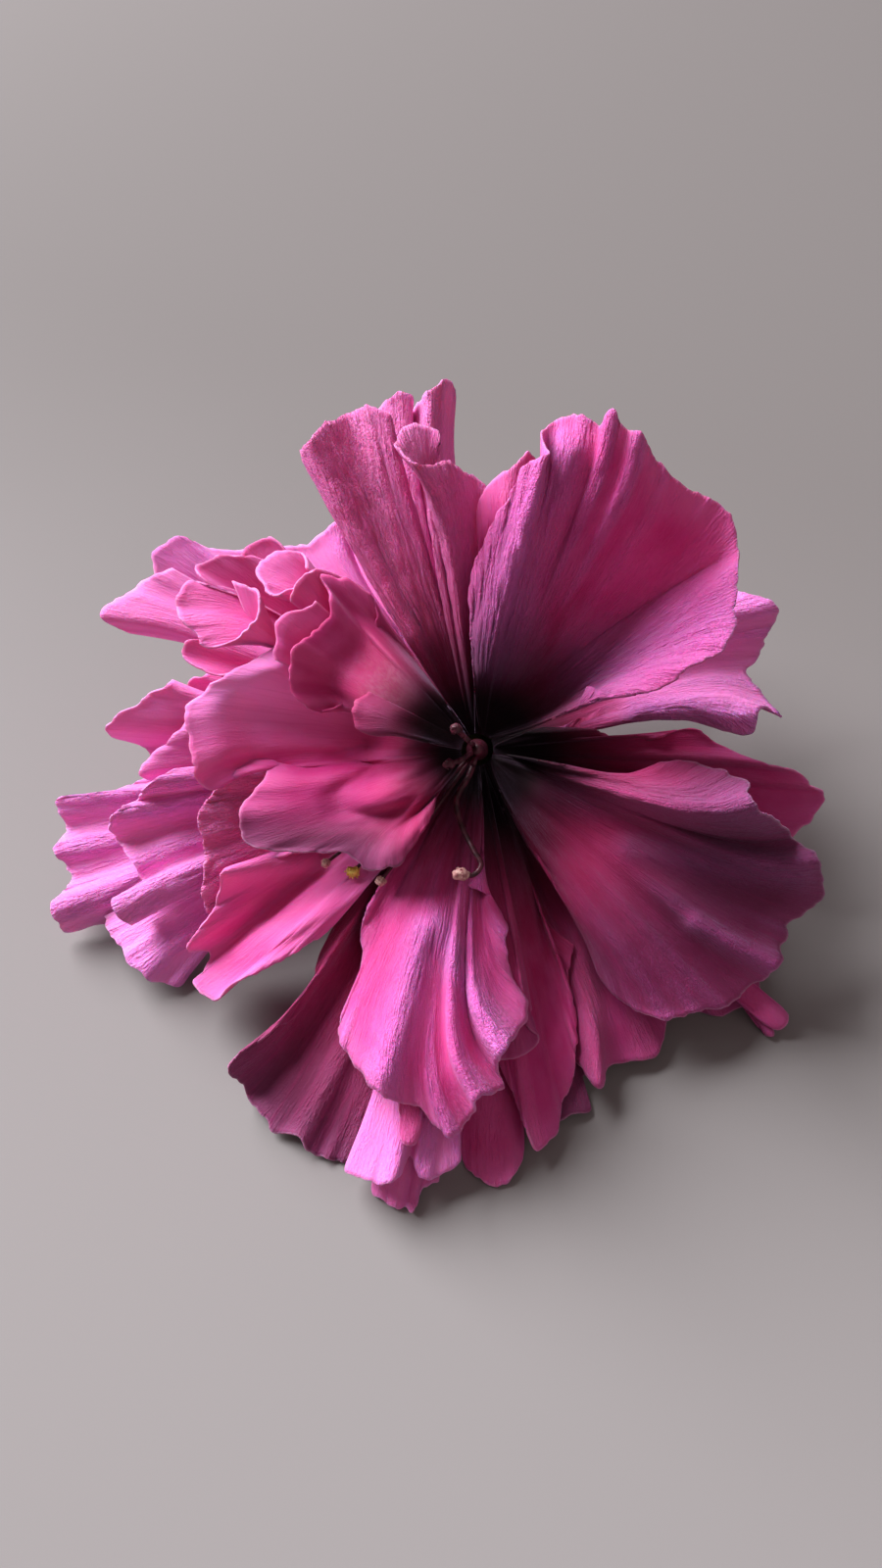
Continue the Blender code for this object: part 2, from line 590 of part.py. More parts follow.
def stamen_tube(filaments, finish, home):
    """The column with its filaments and anthers, joined into one body."""
    additions = bpy.data.collections.new("stamens_to_join")
    bpy.context.scene.collection.children.link(additions)
    column_path = [to_world((0.0, 0.0, out)) for _, out in COLUMN]
    column = rod("staminal_column", column_path, [radius for radius, _ in COLUMN], 12, home)
    for count, (path, radius, anther) in enumerate(filaments):
        radii = np.linspace(radius * 1.3, radius, len(path))
        rod(f"filament_{count}", to_world(path), radii, 6, additions)
        bead = bmesh.new()
        bmesh.ops.create_icosphere(bead, subdivisions=1, radius=anther * MM)
        bmesh.ops.translate(bead, verts=bead.verts, vec=to_world(path[-1]))
        mesh = bpy.data.meshes.new(f"anther_{count}")
        bead.to_mesh(mesh)
        bead.free()
        additions.objects.link(bpy.data.objects.new(f"anther_{count}", mesh))
    join = column.modifiers.new("join", "BOOLEAN")
    join.operation = "UNION"
    join.solver = "EXACT"
    join.use_self = True
    join.operand_type = "COLLECTION"
    join.collection = additions
    bpy.context.view_layer.update()
    joined = bpy.data.meshes.new_from_object(column.evaluated_get(bpy.context.evaluated_depsgraph_get()))
    column.modifiers.clear()
    column.data = joined
    for old in list(additions.objects):
        bpy.data.objects.remove(old)
    bpy.data.collections.remove(additions)
    joined.materials.clear()
    joined.materials.append(finish)
    return column


def centre_on_base(home):
    """Moves everything so that the origin is the middle of the bounding box's bottom face."""
    bpy.context.view_layer.update()
    graph = bpy.context.evaluated_depsgraph_get()
    low = np.full(3, np.inf)
    high = np.full(3, -np.inf)
    for piece in home.objects:
        evaluated = piece.evaluated_get(graph)
        mesh = evaluated.to_mesh()
        places = np.array([tuple(vertex.co) for vertex in mesh.vertices])
        low = np.minimum(low, places.min(axis=0))
        high = np.maximum(high, places.max(axis=0))
        evaluated.to_mesh_clear()
    middle = (low + high) / 2
    shift = Matrix.Translation((-middle[0], -middle[1], -low[2]))
    for piece in home.objects:
        piece.data.transform(shift)


def lay_bloom():
    """Every petal's grid and every filament's path, laid from the back of the bloom to its front."""
    relief = Relief()
    grids = {}
    filaments = []
    for name, shape in PETALS.items():
        for points, radius, anther in FILAMENTS.get(name, []):
            filaments.append((lay_filament(points, radius, relief), radius, anther))
        grid = petal_grid(shape["margin"], shape["foot"], shape["bow"], shape["spans"], shape["rows"])
        lay(grid, relief)
        grids[name] = grid
    for points, radius, anther in FILAMENTS["in_front"]:
        filaments.append((lay_filament(points, radius, relief), radius, anther))
    return grids, filaments


def main():
    for old in list(bpy.data.objects):
        bpy.data.objects.remove(old)
    home = bpy.data.collections.new("hibiscus_flower")
    bpy.context.scene.collection.children.link(home)
    petal = material("petal", PINK, 0.6)
    tube = material("stamens", PALE_PINK, 0.5)
    green = material("calyx", LEAF_GREEN, 0.6)

    grids, filaments = lay_bloom()
    for name, grid in grids.items():
        petal_object("petal_" + name, grid, petal, home)
    stamen_tube(filaments, tube, home)
    star_cup("calyx", CALYX, CALYX_WHOLE_ROWS, SEPALS, 90.0, green, home)
    star_cup("epicalyx", EPICALYX, EPICALYX_WHOLE_ROWS, BRACTS, 90.0, green, home)
    path = np.array(PEDICEL)
    pedicel = rod("pedicel", path[:, :3] * MM, path[:, 3], 12, home)
    pedicel.data.materials.append(green)
    for vertex in pedicel.data.vertices:
        vertex.co.z = max(vertex.co.z, 0.0)
    centre_on_base(home)


main()
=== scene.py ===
"""The looks of the hibiscus bloom: fine petals with crinkles, veins and ruffles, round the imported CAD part.

The petals are laid by the same rule as in the part's source, and then drawn again with a fine surface.
"""

import math

import bmesh
import bpy
import numpy as np
from mathutils import Matrix, Vector


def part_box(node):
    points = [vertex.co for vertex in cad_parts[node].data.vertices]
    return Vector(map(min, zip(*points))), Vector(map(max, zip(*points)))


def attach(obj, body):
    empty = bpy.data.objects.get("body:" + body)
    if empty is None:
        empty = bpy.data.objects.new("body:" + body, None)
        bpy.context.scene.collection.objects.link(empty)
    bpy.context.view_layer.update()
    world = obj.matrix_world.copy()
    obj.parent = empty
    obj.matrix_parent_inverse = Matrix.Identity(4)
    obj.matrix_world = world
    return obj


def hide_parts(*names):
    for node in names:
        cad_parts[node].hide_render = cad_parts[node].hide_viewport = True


MM = 0.001

# The bloom as a whole, in millimetres and degrees, as in the part's source.
FACE_LEAN = 48.0
EYE = 190.0
THROAT = (7.0, 2.0, 28.0)

# The part's petals, in millimetres and degrees.
PETAL_THICKNESS = 0.6
PETAL_GAP = 0.35
FOOT_RADIUS = 2.55
FOOT_HALF_ANGLE = 14.0
BREADTH_POWER = 0.85
STEEPEST = 1.3
STEEPEST_PER_MM = 1.2
EVENNESS = 0.3
MARGIN_POWER = 7.0
FOLD_POWER = 2.5
EVENING_ROUNDS = 3
SOFTENING_ROUNDS = 1
RELIEF_HALF = 90.0
RELIEF_CELL = 0.5
SAMPLES_PER_CELL = 10
FILAMENT_SPANS = 8
FILAMENT_SAMPLES = 20
FAR_BACK = -1000.0
TINY = 1e-9

# The column, the calyx and the epicalyx as rows of radius and out, and the pedicel as places with a radius.
COLUMN = [(1.7, -26.2), (1.8, -20.0), (1.8, -9.0), (1.7, 0.0), (1.4, 5.0), (1.0, 8.0), (0.6, 9.0)]
CALYX = [
    (0.0, -27.0), (2.2, -26.9), (4.4, -25.8), (5.7, -23.6),
    (6.3, -21.2), (8.0, -20.9), (10.5, -21.6), (13.0, -23.0),
]
CALYX_WHOLE_ROWS = 5
CALYX_THICKNESS = 0.7
SEPALS = 5
EPICALYX = [(0.0, -28.1), (1.8, -28.1), (2.6, -28.1), (4.2, -28.0), (6.2, -27.2), (8.0, -25.8)]
EPICALYX_WHOLE_ROWS = 3
BRACTS = 7
STEPS_PER_LOBE = 8
CUP_SMOOTHING = 2
PEDICEL_SPANS = 4
COLUMN_SIDES = 24
WELD_DISTANCE = 0.00001
PEDICEL = [
    (7.0, 21.3, 6.6, 2.3), (7.0, 22.3, 5.5, 2.0), (7.0, 23.6, 4.1, 1.6), (7.3, 25.4, 2.7, 1.45),
    (8.2, 28.5, 1.6, 1.4), (10.0, 33.0, 1.3, 1.4), (12.5, 38.0, 1.3, 1.4), (14.5, 42.0, 1.35, 1.5),
]

# The lobes of both cups: their turn in degrees, their sharpness, and the shares kept and drawn out.
LOBES_TURN = 90.0
LOBE_POWER = 1.5
LOBE_VALLEY = 0.18
LOBE_DRAW = 0.82

# The fine petals: sizes in millimetres, then numbers of samples, rounds and steps.
FINE_ACROSS = 0.42
FINE_ALONG = 0.75
COARSE_ALONG = 1.8
COARSE_SHARE = 0.45
FINE_THICKNESS = 0.34
FINE_GAP = 0.12
MARGIN_SAMPLES = 400
SETTLING_ROUNDS = 5
CREST_SPANS = 6

# What sets the draws and the noise of one petal apart from those of the next.
SEED_STEP = 31
PATTERN_STEP = 7.0

# What mixes the whole numbers that a fixed draw is made from.
SCATTER_PRIMES = (374761393, 668265263, 974634777, 1274126177)

# Pleats and ruffles: height, how it grows towards the margin, length, and change along the petal.
RUFFLES = [(0.50, 2, 6.0, 2.0), (0.50, 7, 3.2, 1.0), (0.30, 14, 1.5, 1.0)]

# Notches of the margin, each with its depth and length, and the curl of the margin.
NOTCHES = [(0.45, 2.4), (0.22, 0.9)]
NOTCH_POWER = 14
CURL_HEIGHT = 0.7
CURL_LENGTH = 9.0
CURL_WIDTH = 2.2

# How far a bend across the petal counts as a crest: rounds of blurring, bends, and share.
BEND_ROUNDS = (6, 4)
BEND_RANGE = (-0.02, 0.10)
BEND_SHARE = 0.5

# The crinkles along the veins: wide ridges inside, narrow ones outside, and beads on both. NARROW_SHARES
# and CRINKLE_STARTS say where the narrow ones and the crinkles as a whole set in.
RIDGE_HEIGHT = 0.42
RIDGE_LENGTH = 6.0
RIDGE_POWER = 0.7
WIDE_RIDGES = 1.7
NARROW_RIDGES = 1.35
NARROW_SHARES = (0.35, 0.75)
WANDER_LENGTH = 5.0
BEAD_ACROSS = 0.8
BEAD_ALONG = 1.1
BEAD_SHARE = 0.1
CRINKLE_STARTS = (8.0, 16.0)
CRINKLE_FLAT = 0.2
CRINKLE_CREST = 0.8

# Filaments, anthers and pollen. An anther's finish is its place in the stamens' list of materials.
FILAMENT_SIDES = 12
FILAMENT_WAVE = 3.0
FILAMENT_UNEVENNESS = 0.05
FILAMENT_TAPER = 0.85
ANTHER_FINISHES = (1, 2, 1, 1, 0, 0)
ANTHER_LUMPS = 3
ANTHER_UNEVENNESS = 0.25
ANTHER_STRETCH = 1.25
GRAINS = 26
GRAIN_RADIUS = 0.15
GRAIN_SPREADS = (0.15, 0.15, 0.55)
GRAIN_SEED = 11

# The hairs of the green parts, in millimetres, and the height above which they grow.
HAIRS = {"calyx": 500, "epicalyx": 350, "pedicel": 350}
HAIR_LENGTH = 0.6
HAIR_SHORTEST = 0.6
HAIR_VARIES = 0.8
HAIR_RADIUS = 0.04
HAIR_LEAN = 0.6
HAIR_LOWEST = 0.1
HAIRS_ABOVE = 0.5
HAIRY_SIDE = 0.3
HAIR_SEED = 40

# The camera: the throat's place in the photo, and the focal length, in the photo's pixels.
PHOTO_WIDTH = 900
PHOTO_HEIGHT = 1600
THROAT_PIXEL = (487, 765)
FOCAL_PIXELS = 1250.0
LONG_SIDE_MM = 36.0

# The long folds of some petals, as seen from the front: a path, how high it is drawn up, and its width.
# A fold without height is only marked, which gives it crinkles and the painted highlight of a crest, and one
# with a height below nothing is a sharp crease.
CRESTS = {
    "upright_right": [
        ([(-11.5, 47), (-10, 42), (-9.2, 33), (-8.7, 22)], 4.0, 2.6),
        ([(-6, 43), (-7, 32), (-8.5, 19)], 0.0, 4.0),
    ],
    "upright_left": [
        ([(-17, 51), (-15, 42), (-12, 30), (-9, 18)], 1.5, 2.5),
        ([(-21, 49), (-16, 36), (-10, 20)], 0.0, 7.0),
    ],
    "upright_fan": [
        ([(13, 46), (9, 36), (4.5, 24), (2, 12)], 4.5, 3.4),
        ([(10, 40), (5, 28), (2, 16)], 0.0, 6.0),
        ([(38, 29.5), (27, 23), (18, 17), (12, 12.5)], -3.0, 3.2),
        ([(37, 20), (29, 16.5), (20, 12)], 0.0, 7.0),
    ],
    "right_main": [
        ([(44, -8.5), (30, -8.3), (20, -7.5), (12, -5.5)], 2.4, 3.2),
        ([(50, -19), (38, -17.5), (24, -15)], 0.8, 2.6),
        ([(47, -34), (41, -31), (34, -27)], 1.2, 1.5),
    ],
    "front_middle": [
        ([(4, -46.5), (-1, -38), (-6, -27)], 1.6, 2.4),
        ([(-14, -50), (-11, -40), (-8, -28)], 1.2, 2.6),
    ],
    "right_front": [([(18.5, -51), (17.5, -40), (15.5, -28)], 2.0, 2.0)],
    "guard_back_right": [([(46, 4.5), (40, 4.8), (33, 6.2), (25, 6)], 2.5, 2.0)],
    "low_left_rim": [([(-41, -8), (-41, -24)], 0.0, 5.0)],
    "low_left": [([(-39.8, -19.5), (-30, -18), (-22, -16.8)], 2.0, 1.8)],
}

# Colours of the petals.
# The throat and the heart: the petals' own dark eye together with painted shade of the deep throat.
THROAT_DARK = (0.008, 0.001, 0.003)
HEART_PINK = (0.44, 0.016, 0.105)
# Painted shade, for the petals that lie in shade.
SHADED_PINK = (0.165, 0.026, 0.080)
# The petal's pinks from deep to light: a petal's place between them is its own tone together with painted
# light.
DEEP_PINK = (0.71, 0.040, 0.250)
LIGHT_PINK = (0.93, 0.26, 0.65)
# Painted highlights on the crests, lilac and warm.
CREST_HIGHLIGHT_LILAC = (0.92, 0.28, 0.84)
CREST_HIGHLIGHT_WARM = (1.0, 0.21, 0.52)
# The veins' own colour, also used for painted shade in the creases.
VEIN_AND_CREASE_SHADE_PINK = (0.55, 0.02, 0.18)
# The broad paler margin, partly the petal's own and partly painted light, and a painted highlight along the
# rim.
RIM_PINK = (0.88, 0.26, 0.62)
RIM_HIGHLIGHT = (0.95, 0.60, 0.85)

# The petal material: where colours come and go, in millimetres from the throat and from the margin.
DEPTHS = {"throat": (5.0, 17.5), "heart": (11.0, 27.0), "edge": (14.0, 32.0)}
EDGES = {"broad": (0.0, 7.0), "rim": (0.05, 0.4)}
PALING_PAINTED_LIGHTS = (-1.0, 0.2)
PALING_SHARES = (0.25, 1.0)

# How much of each colour is painted over the body.
SHARES = {"mottle": 0.18, "veins": 0.12, "edge": 0.30, "rim": 0.22, "crests": 0.5, "creases": 0.18}

# The noise in the petal material: lumps a millimetre, detail and roughness. The ranges say which of its
# values count, and the stretches how much slower it changes along the veins.
PATTERNS = {
    "mottle": (0.12, 3.0), "veins": (1.3, 2.0), "folds": (1.15, 3.0, 0.6), "grain": (2.4, 3.0, 0.6),
    "gloss": (1.2, 2.0),
}
MOTTLE_RANGE = (0.35, 0.75)
VEIN_RANGE = (0.52, 0.64)
CREASE_RANGE = (0.0, 0.07)
WRINKLE_RANGE = (0.2, 1.2)
FOLD_STRETCH = 0.18
VEIN_STRETCH = 0.05
GROOVE_HEIGHT = 1.6
GRAIN_HEIGHT = 0.32
SMOOTH_WRINKLE = 0.05
BUMP_DISTANCE = 1.4
GLOSS_RANGE = (0.3, 0.7, 0.55, 0.75)

# The other tissues: dark and light colour, patches a metre, roughness, and relief in millimetres.
TISSUES = {
    "stamen_tissue": ((0.035, 0.002, 0.007), (0.11, 0.012, 0.03), 900.0, 0.45, 0.08),
    "pale_pollen": ((0.45, 0.16, 0.17), (0.80, 0.50, 0.42), 1500.0, 0.6, 0.1),
    "yellow_pollen": ((0.55, 0.26, 0.03), (0.90, 0.62, 0.14), 1500.0, 0.6, 0.1),
    "sepal_tissue": ((0.07, 0.13, 0.025), (0.20, 0.30, 0.08), 260.0, 0.55, 0.15),
}
PATCH_RANGE = (0.35, 0.68)
RELIEF_FINENESS = 3.0
GLOSS_SPREAD = 0.08

# The floor, the air and the lights: place in metres, size in metres, power in watts, colour.
FLOOR_SIZE = 4.0
# The table goes from the first colour to the second towards the viewer and the left: painted light. The
# patches are its own uneven tone.
FLOOR_COLOUR = (0.192, 0.172, 0.164)
FLOOR_PAINTED_LIGHT = (0.295, 0.269, 0.261)
FLOOR_GRADE = 0.14
FLOOR_SLANT = -0.5
FLOOR_PATCHES = (9.0, 3.0)
FLOOR_UNEVENNESS = 0.04
AIR_COLOUR = (1.0, 0.83, 0.86, 1.0)
AIR_STRENGTH = 0.17
LIGHTS = [
    ("window", (-1.55, 1.22, 1.52), 2.1, 182.0, (0.93, 0.95, 1.0)),
    ("room", (1.0, -1.2, 1.4), 1.6, 3.0, (1.0, 0.93, 0.88)),
]

# Filaments, by the petal that lies next in front of them: a path, its radius and its anther's radius.
FILAMENTS = {
    "left_main": [
        ([(-0.5, -0.7, -3.5), (-7.0, -10.0, 2.0), (-15.0, -20.4, 8.0)], 0.3, 0.65),
        ([(-0.6, -0.6, -3.5), (-9.0, -9.0, 2.0), (-19.3, -18.9, 8.0)], 0.3, 0.75),
        ([(-0.7, -0.4, -3.5), (-11.0, -8.0, 2.0), (-23.5, -17.6, 8.0)], 0.3, 0.6),
    ],
    "in_front": [
        ([(0.0, -0.3, 7.0), (-1.2, -3.8, 9.5), (-3.2, -7.6, 11.0), (-2.6, -11.4, 12.0), (-0.6, -15.5, 14.5),
          (0.6, -17.8, 15.5), (-0.6, -19.4, 16.0), (-2.5, -19.3, 16.3)], 0.45, 0.95),
        ([(-0.2, 0.0, 6.5), (-2.6, -1.6, 9.0), (-4.4, -2.2, 10.5)], 0.4, 0.7),
        ([(0.0, 0.2, 6.5), (-1.8, 1.8, 9.0), (-3.3, 3.2, 10.5)], 0.4, 0.7),
    ],
}

# What a petal has where its own row says nothing else. foot: how far out it starts in the throat. bow: how
# far it bows out. rows: its cells along. spans: steps between two points of its margin.
# tone_and_painted_light:
# how light it is, from -1 to 1, its own tone together with painted light; below 0 it is painted shade, for
# the
# petals that lie in shade. lean: the height where it has that value, and the change a millimetre upwards,
# which paints light and shade that change up or down the petal. crinkle: how strong its crinkles are. reach:
# how much further than usual the dark of the throat reaches along it, which is its own dark heart together
# with painted shade, and reaches further on petals in shade. lilac_highlight: whether the painted highlight
# on its folds is lilac, and not a warm pink.
USUAL = dict(bow=3, rows=8, spans=1, lean=(0.0, 0.0), crinkle=0.4, reach=1.0, lilac_highlight=False)

# The petals in the order of laying. A margin runs counter-clockwise, as right, up and out in millimetres.
PETALS = {
    "guard_back": dict(foot=-18, rows=7, spans=2, tone_and_painted_light=0.655, margin=[
        (30, 30, -32), (22, 40, -32), (12, 43, -30), (2, 37, -30), (-8, 44, -32), (-17, 44, -31),
        (-22, 33, -28)]),
    "guard_back_left": dict(foot=-18, tone_and_painted_light=1.0, lilac_highlight=True, margin=[
        (-17, 22, -14), (-19, 29, -14), (-21.5, 35, -12), (-26, 32, -16), (-33, 31, -18), (-41, 31, -16),
        (-46, 33, -13), (-50, 31, -14), (-50, 26, -18), (-46, 19, -20), (-42, 13, -21)]),
    "guard_left": dict(foot=-18, tone_and_painted_light=1.0, crinkle=1.5, lilac_highlight=True, margin=[
        (-50, -4, -16), (-58, -7, -14), (-65, -7.5, -12), (-63.5, -12, -14), (-65.5, -16, -11),
        (-62.5, -20, -12), (-66, -24.5, -7), (-63.5, -28, -10), (-58, -27, -12), (-52, -29, -12)]),
    "guard_front_left": dict(foot=-18, tone_and_painted_light=1.0, crinkle=1.0, lilac_highlight=True, margin=[
        (-58, -26, -11), (-56, -30, -7), (-53, -34, -4), (-50, -36, -2.5), (-46, -36.5, -2.5),
        (-45, -32, -4.5), (-43, -27, -6)]),
    "guard_front_right": dict(foot=-18, tone_and_painted_light=-1.0, reach=2.0, margin=[
        (4, -54, 9), (9, -58.5, 12.5), (13.5, -57.3, 11.5), (17.5, -56, 10.5), (16, -52, 7.5),
        (21, -47, 4), (27, -43, 1)]),
    "guard_right": dict(foot=-18, tone_and_painted_light=-0.6, reach=1.8, margin=[
        (26, -38, -2), (33, -40, -1), (38, -41.5, 0), (42, -40, 0), (44, -43.5, 2), (46, -44.5, 2.4),
        (44.5, -40, 0), (43, -32, -4), (44, -22, -10), (42, -12, -14)]),
    "guard_back_right": dict(foot=-17, tone_and_painted_light=0.8, crinkle=1.4, reach=1.3, lilac_highlight=True, margin=[
        (13, 3.6, -13), (22, 7, -15), (30, 6.5, -16), (37, 3.5, -15), (42, 2.8, -14), (44.5, 6.5, -15),
        (47, 5, -18), (43.5, 9.5, -20), (42, 12, -23), (44, 16, -25), (46.5, 21.5, -23), (44, 23.5, -24),
        (38, 26, -27), (34, 34, -29)]),
    "back_tip": dict(foot=-16, tone_and_painted_light=0.7, crinkle=1.5, margin=[
        (-4.5, 44, -20), (-4, 51, -20), (-3.5, 55.5, -19), (-5, 57.6, -17), (-7.5, 55.5, -15),
        (-10, 52.5, -20), (-10.5, 55, -17), (-13, 55.3, -17), (-16, 52, -20), (-20, 48, -22),
        (-23, 41, -24)]),
    "left_tongue": dict(foot=-15, bow=2, rows=7, tone_and_painted_light=0.7, margin=[
        (-47, 28, -12), (-52, 26, -12), (-58, 21.5, -8), (-57, 19.5, -9), (-52, 18, -12), (-46, 20, -14)]),
    "left_fold": dict(foot=-15, bow=2, rows=6, tone_and_painted_light=0.4, margin=[
        (-38, 15, -14), (-42, 11.5, -12), (-44.5, 11, -11), (-45.3, 8, -12), (-45, 4, -13)]),
    "left_point": dict(foot=-15, bow=2, rows=7, tone_and_painted_light=0.7, margin=[
        (-46.3, 7, -12), (-47, 10.5, -12), (-48.5, 10, -9), (-53, 7, -9), (-57, 4.5, -7),
        (-57.5, 2.5, -9), (-52, 0.5, -11), (-49.5, -1.5, -12)]),
    "left_band": dict(foot=-14, bow=2, rows=7, tone_and_painted_light=0.7, margin=[
        (-44, 6, -6), (-46, 3, -5), (-50, -0.5, -5), (-52.7, -3.5, -4), (-51, -4.7, -7), (-46, -6, -9)]),
    "left_pleats": dict(foot=-14, bow=2, tone_and_painted_light=1.0, crinkle=1.6, lilac_highlight=True, margin=[
        (-47, -3, -7), (-51.5, -5.5, -5), (-53, -8, -8), (-57.3, -10.5, -5), (-55.5, -14, -9),
        (-53.5, -18, -6), (-52.5, -21, -9), (-56.5, -23.5, -3), (-54, -26.8, -5), (-50, -25, -9),
        (-45, -22, -10)]),
    "front_left": dict(foot=-14, bow=7, tone_and_painted_light=-1.0, crinkle=0.6, reach=2.5, margin=[
        (-20, -24, 6), (-24, -31, 9), (-27, -40, 12), (-33, -44.5, 14), (-38.5, -49, 14),
        (-35.5, -53.5, 10), (-31.5, -59, 13), (-28, -60.5, 15), (-25, -62.5, 14), (-20, -63.5, 15),
        (-15, -60, 13)]),
    "front_foot": dict(foot=-14, rows=7, tone_and_painted_light=0.5, margin=[
        (-16, -66, 17), (-16, -69, 18.6), (-12.5, -71, 19.8), (-11, -70.5, 19.4), (-10, -71.5, 20.1),
        (-8.5, -68.5, 18), (-6, -67, 17)]),
    "front_hem": dict(foot=-14, rows=7, tone_and_painted_light=0.0, margin=[
        (-3, -57, 11), (-2, -64, 15.5), (1, -67, 17.5), (4.5, -67, 17.5), (7, -63.5, 15.5), (7, -57, 12)]),
    "front_frill": dict(foot=-13, tone_and_painted_light=0.6, lilac_highlight=True, margin=[
        (-16, -55, 12), (-18.5, -61, 14.5), (-20.2, -64.7, 17), (-17.5, -67, 18.5), (-13, -67, 20),
        (-10.5, -63, 16), (-9, -66.5, 18), (-6, -66, 18), (-2.7, -63.5, 18), (-5, -58, 14)]),
    "right_tongue": dict(foot=-14, rows=7, tone_and_painted_light=-0.3, reach=1.8, margin=[
        (41, -39.5, 1), (45, -42.8, 2.5), (47, -43.3, 3), (48.3, -42.2, 3), (47.5, -40.3, 2),
        (43, -37, 0)]),
    "right_front": dict(foot=-13, tone_and_painted_light=-0.5, reach=2.0, margin=[
        (14.5, -30, 2), (13.8, -40, 4), (14.2, -46.5, 6.5), (19, -52.3, 9.5), (20.5, -49, 6.5),
        (27, -47.6, 6), (29, -43.5, 3.5), (29, -36, 1)]),
    "front_right": dict(foot=-12, tone_and_painted_light=-0.2, reach=2.0, margin=[
        (1, -44, 8), (5.5, -53, 11), (8.3, -61, 15), (9.8, -61.8, 15.5), (12.4, -59, 13),
        (13, -54.5, 10), (15, -50.5, 8), (15, -40, 5), (11, -28, 3)]),
    "right_back": dict(foot=-12, tone_and_painted_light=-0.3, reach=1.8, margin=[
        (48, -14, -2), (52, -10.5, -4), (54, -7, -5), (51.5, -5.5, -3), (50, -3.5, -2), (44, -2, -1),
        (39, 0, -4), (34, 3.2, -5), (28.5, 2, -4), (23, 0.8, -7), (18.3, 3, -6), (10, 3.4, -8)]),
    "upright_left": dict(foot=-11, tone_and_painted_light=0.5, crinkle=1.6, reach=1.3, margin=[
        (-12, 44, -9), (-13.3, 50, -6), (-14, 52.5, -2), (-17, 53, -6), (-20.5, 51.7, -8),
        (-24.8, 50, -6), (-26, 48.3, 0), (-27.2, 46.5, -2), (-26, 43, -5)]),
    "upright_right": dict(foot=-10, tone_and_painted_light=0.45, crinkle=1.6, reach=1.3, margin=[
        (4, 35, -7), (3, 38.5, -6), (-1, 42.3, -3), (-5, 44.3, 2), (-9, 44, 6), (-11.7, 46.5, 4),
        (-12.5, 48.8, 1), (-11, 50, -3), (-8, 50.5, -4), (-6, 49.5, -4), (-5.7, 46.5, -4)]),
    "upright_middle": dict(foot=-12, bow=2, rows=7, tone_and_painted_light=0.2, reach=1.5, margin=[
        (11, 43, -10), (8, 45.8, -9), (5, 43.3, -10), (1.3, 40.6, -12), (0, 36, -12), (1, 30, -12)]),
    "rose_back": dict(foot=-11, bow=2, rows=7, tone_and_painted_light=0.3, margin=[
        (-27, 28, -4), (-29.5, 30.5, -3), (-31, 32.3, -4), (-34, 32.8, -4), (-36.5, 30.5, -3),
        (-37, 27, -4)]),
    "rose_left": dict(foot=-11, bow=2, rows=7, tone_and_painted_light=0.3, margin=[
        (-33, 29.5, 0), (-36.5, 30, 2), (-41, 30, 3), (-43.5, 28, 4), (-42, 26, 5), (-38, 25, 4)]),
    "rose_hem": dict(foot=-11, bow=2, rows=7, tone_and_painted_light=0.3, margin=[
        (-42, 17, 2), (-45, 17, 3), (-46, 15.3, 3), (-44, 13, 4), (-40, 11.5, 5), (-36, 12.5, 5)]),
    "rose_mouth_left": dict(foot=-10, bow=2, rows=7, tone_and_painted_light=0.4, margin=[
        (-41, 25.3, 2), (-45, 26, 2), (-46.5, 22, 4), (-44, 18, 7), (-41.5, 15.8, 10), (-37, 18, 11),
        (-34, 21.5, 11), (-34.3, 25, 9), (-38, 26.3, 7)]),
    "rose_mouth_right": dict(foot=-9, bow=2, rows=7, tone_and_painted_light=0.4, margin=[
        (-26.3, 28, 6), (-27.5, 30.8, 3), (-31, 30.5, 3), (-33.8, 28.3, 6), (-33, 25, 9),
        (-31.5, 24, 11), (-28.5, 25.3, 11), (-25.5, 27.5, 9)]),
    "rose_wall": dict(foot=-9, bow=2, rows=7, tone_and_painted_light=0.1, crinkle=0.15, margin=[
        (-16, 21.5, 7), (-16.5, 24, 6), (-20, 26.3, 5), (-25, 28, 8), (-27.5, 26, 9), (-29, 23, 8)]),
    "front_side": dict(foot=-11, bow=2, rows=6, tone_and_painted_light=-0.5, reach=1.8, margin=[
        (3, -48, 9), (6.5, -47.6, 9), (9.7, -45.3, 8), (7.5, -42.5, 8), (8.3, -40, 7)]),
    "front_tongue": dict(foot=-11, rows=7, tone_and_painted_light=-0.2, reach=1.2, margin=[
        (-12.2, -55, 17), (-11.7, -60, 19), (-10.3, -61.2, 19.5), (-9, -60, 19), (-9, -55, 17)]),
    "low_left_rim": dict(foot=-11, bow=2, tone_and_painted_light=0.6, crinkle=1.6, margin=[
        (-33, -2, 2), (-38, -4, 3), (-41.5, -7, 4), (-43.7, -11, 4), (-42, -15, 2.5), (-42.5, -20, 2.5),
        (-41.5, -25, 1.5), (-37, -28, -1)]),
    "low_left": dict(foot=-10, bow=2, tone_and_painted_light=0.3, crinkle=0.3, reach=0.9, margin=[
        (-28, -16, 4), (-37, -17.8, 5), (-40, -19.5, 5), (-40.5, -24, 3), (-45, -30.5, 2),
        (-41.5, -31.2, -1), (-42, -34, 0), (-44, -36.3, 2), (-40.8, -39, 2), (-38, -36.5, -1),
        (-30, -32.5, -2), (-23, -28, -4)]),
    "front_middle": dict(foot=-9, bow=4, rows=9, tone_and_painted_light=0.2, crinkle=0.8, reach=1.2, lilac_highlight=True, margin=[
        (-14.5, -20, 8), (-18, -27, 8), (-18, -34, 9), (-21.3, -43, 10), (-18.5, -49.5, 12),
        (-14.5, -53.5, 15), (-9, -55.5, 13), (-4, -60.5, 15), (-1, -57, 13), (0.3, -54.3, 17),
        (4, -52.8, 14), (3, -49, 12), (4.2, -46.8, 17), (8, -40.5, 11), (5, -34.5, 9), (4.3, -27, 8),
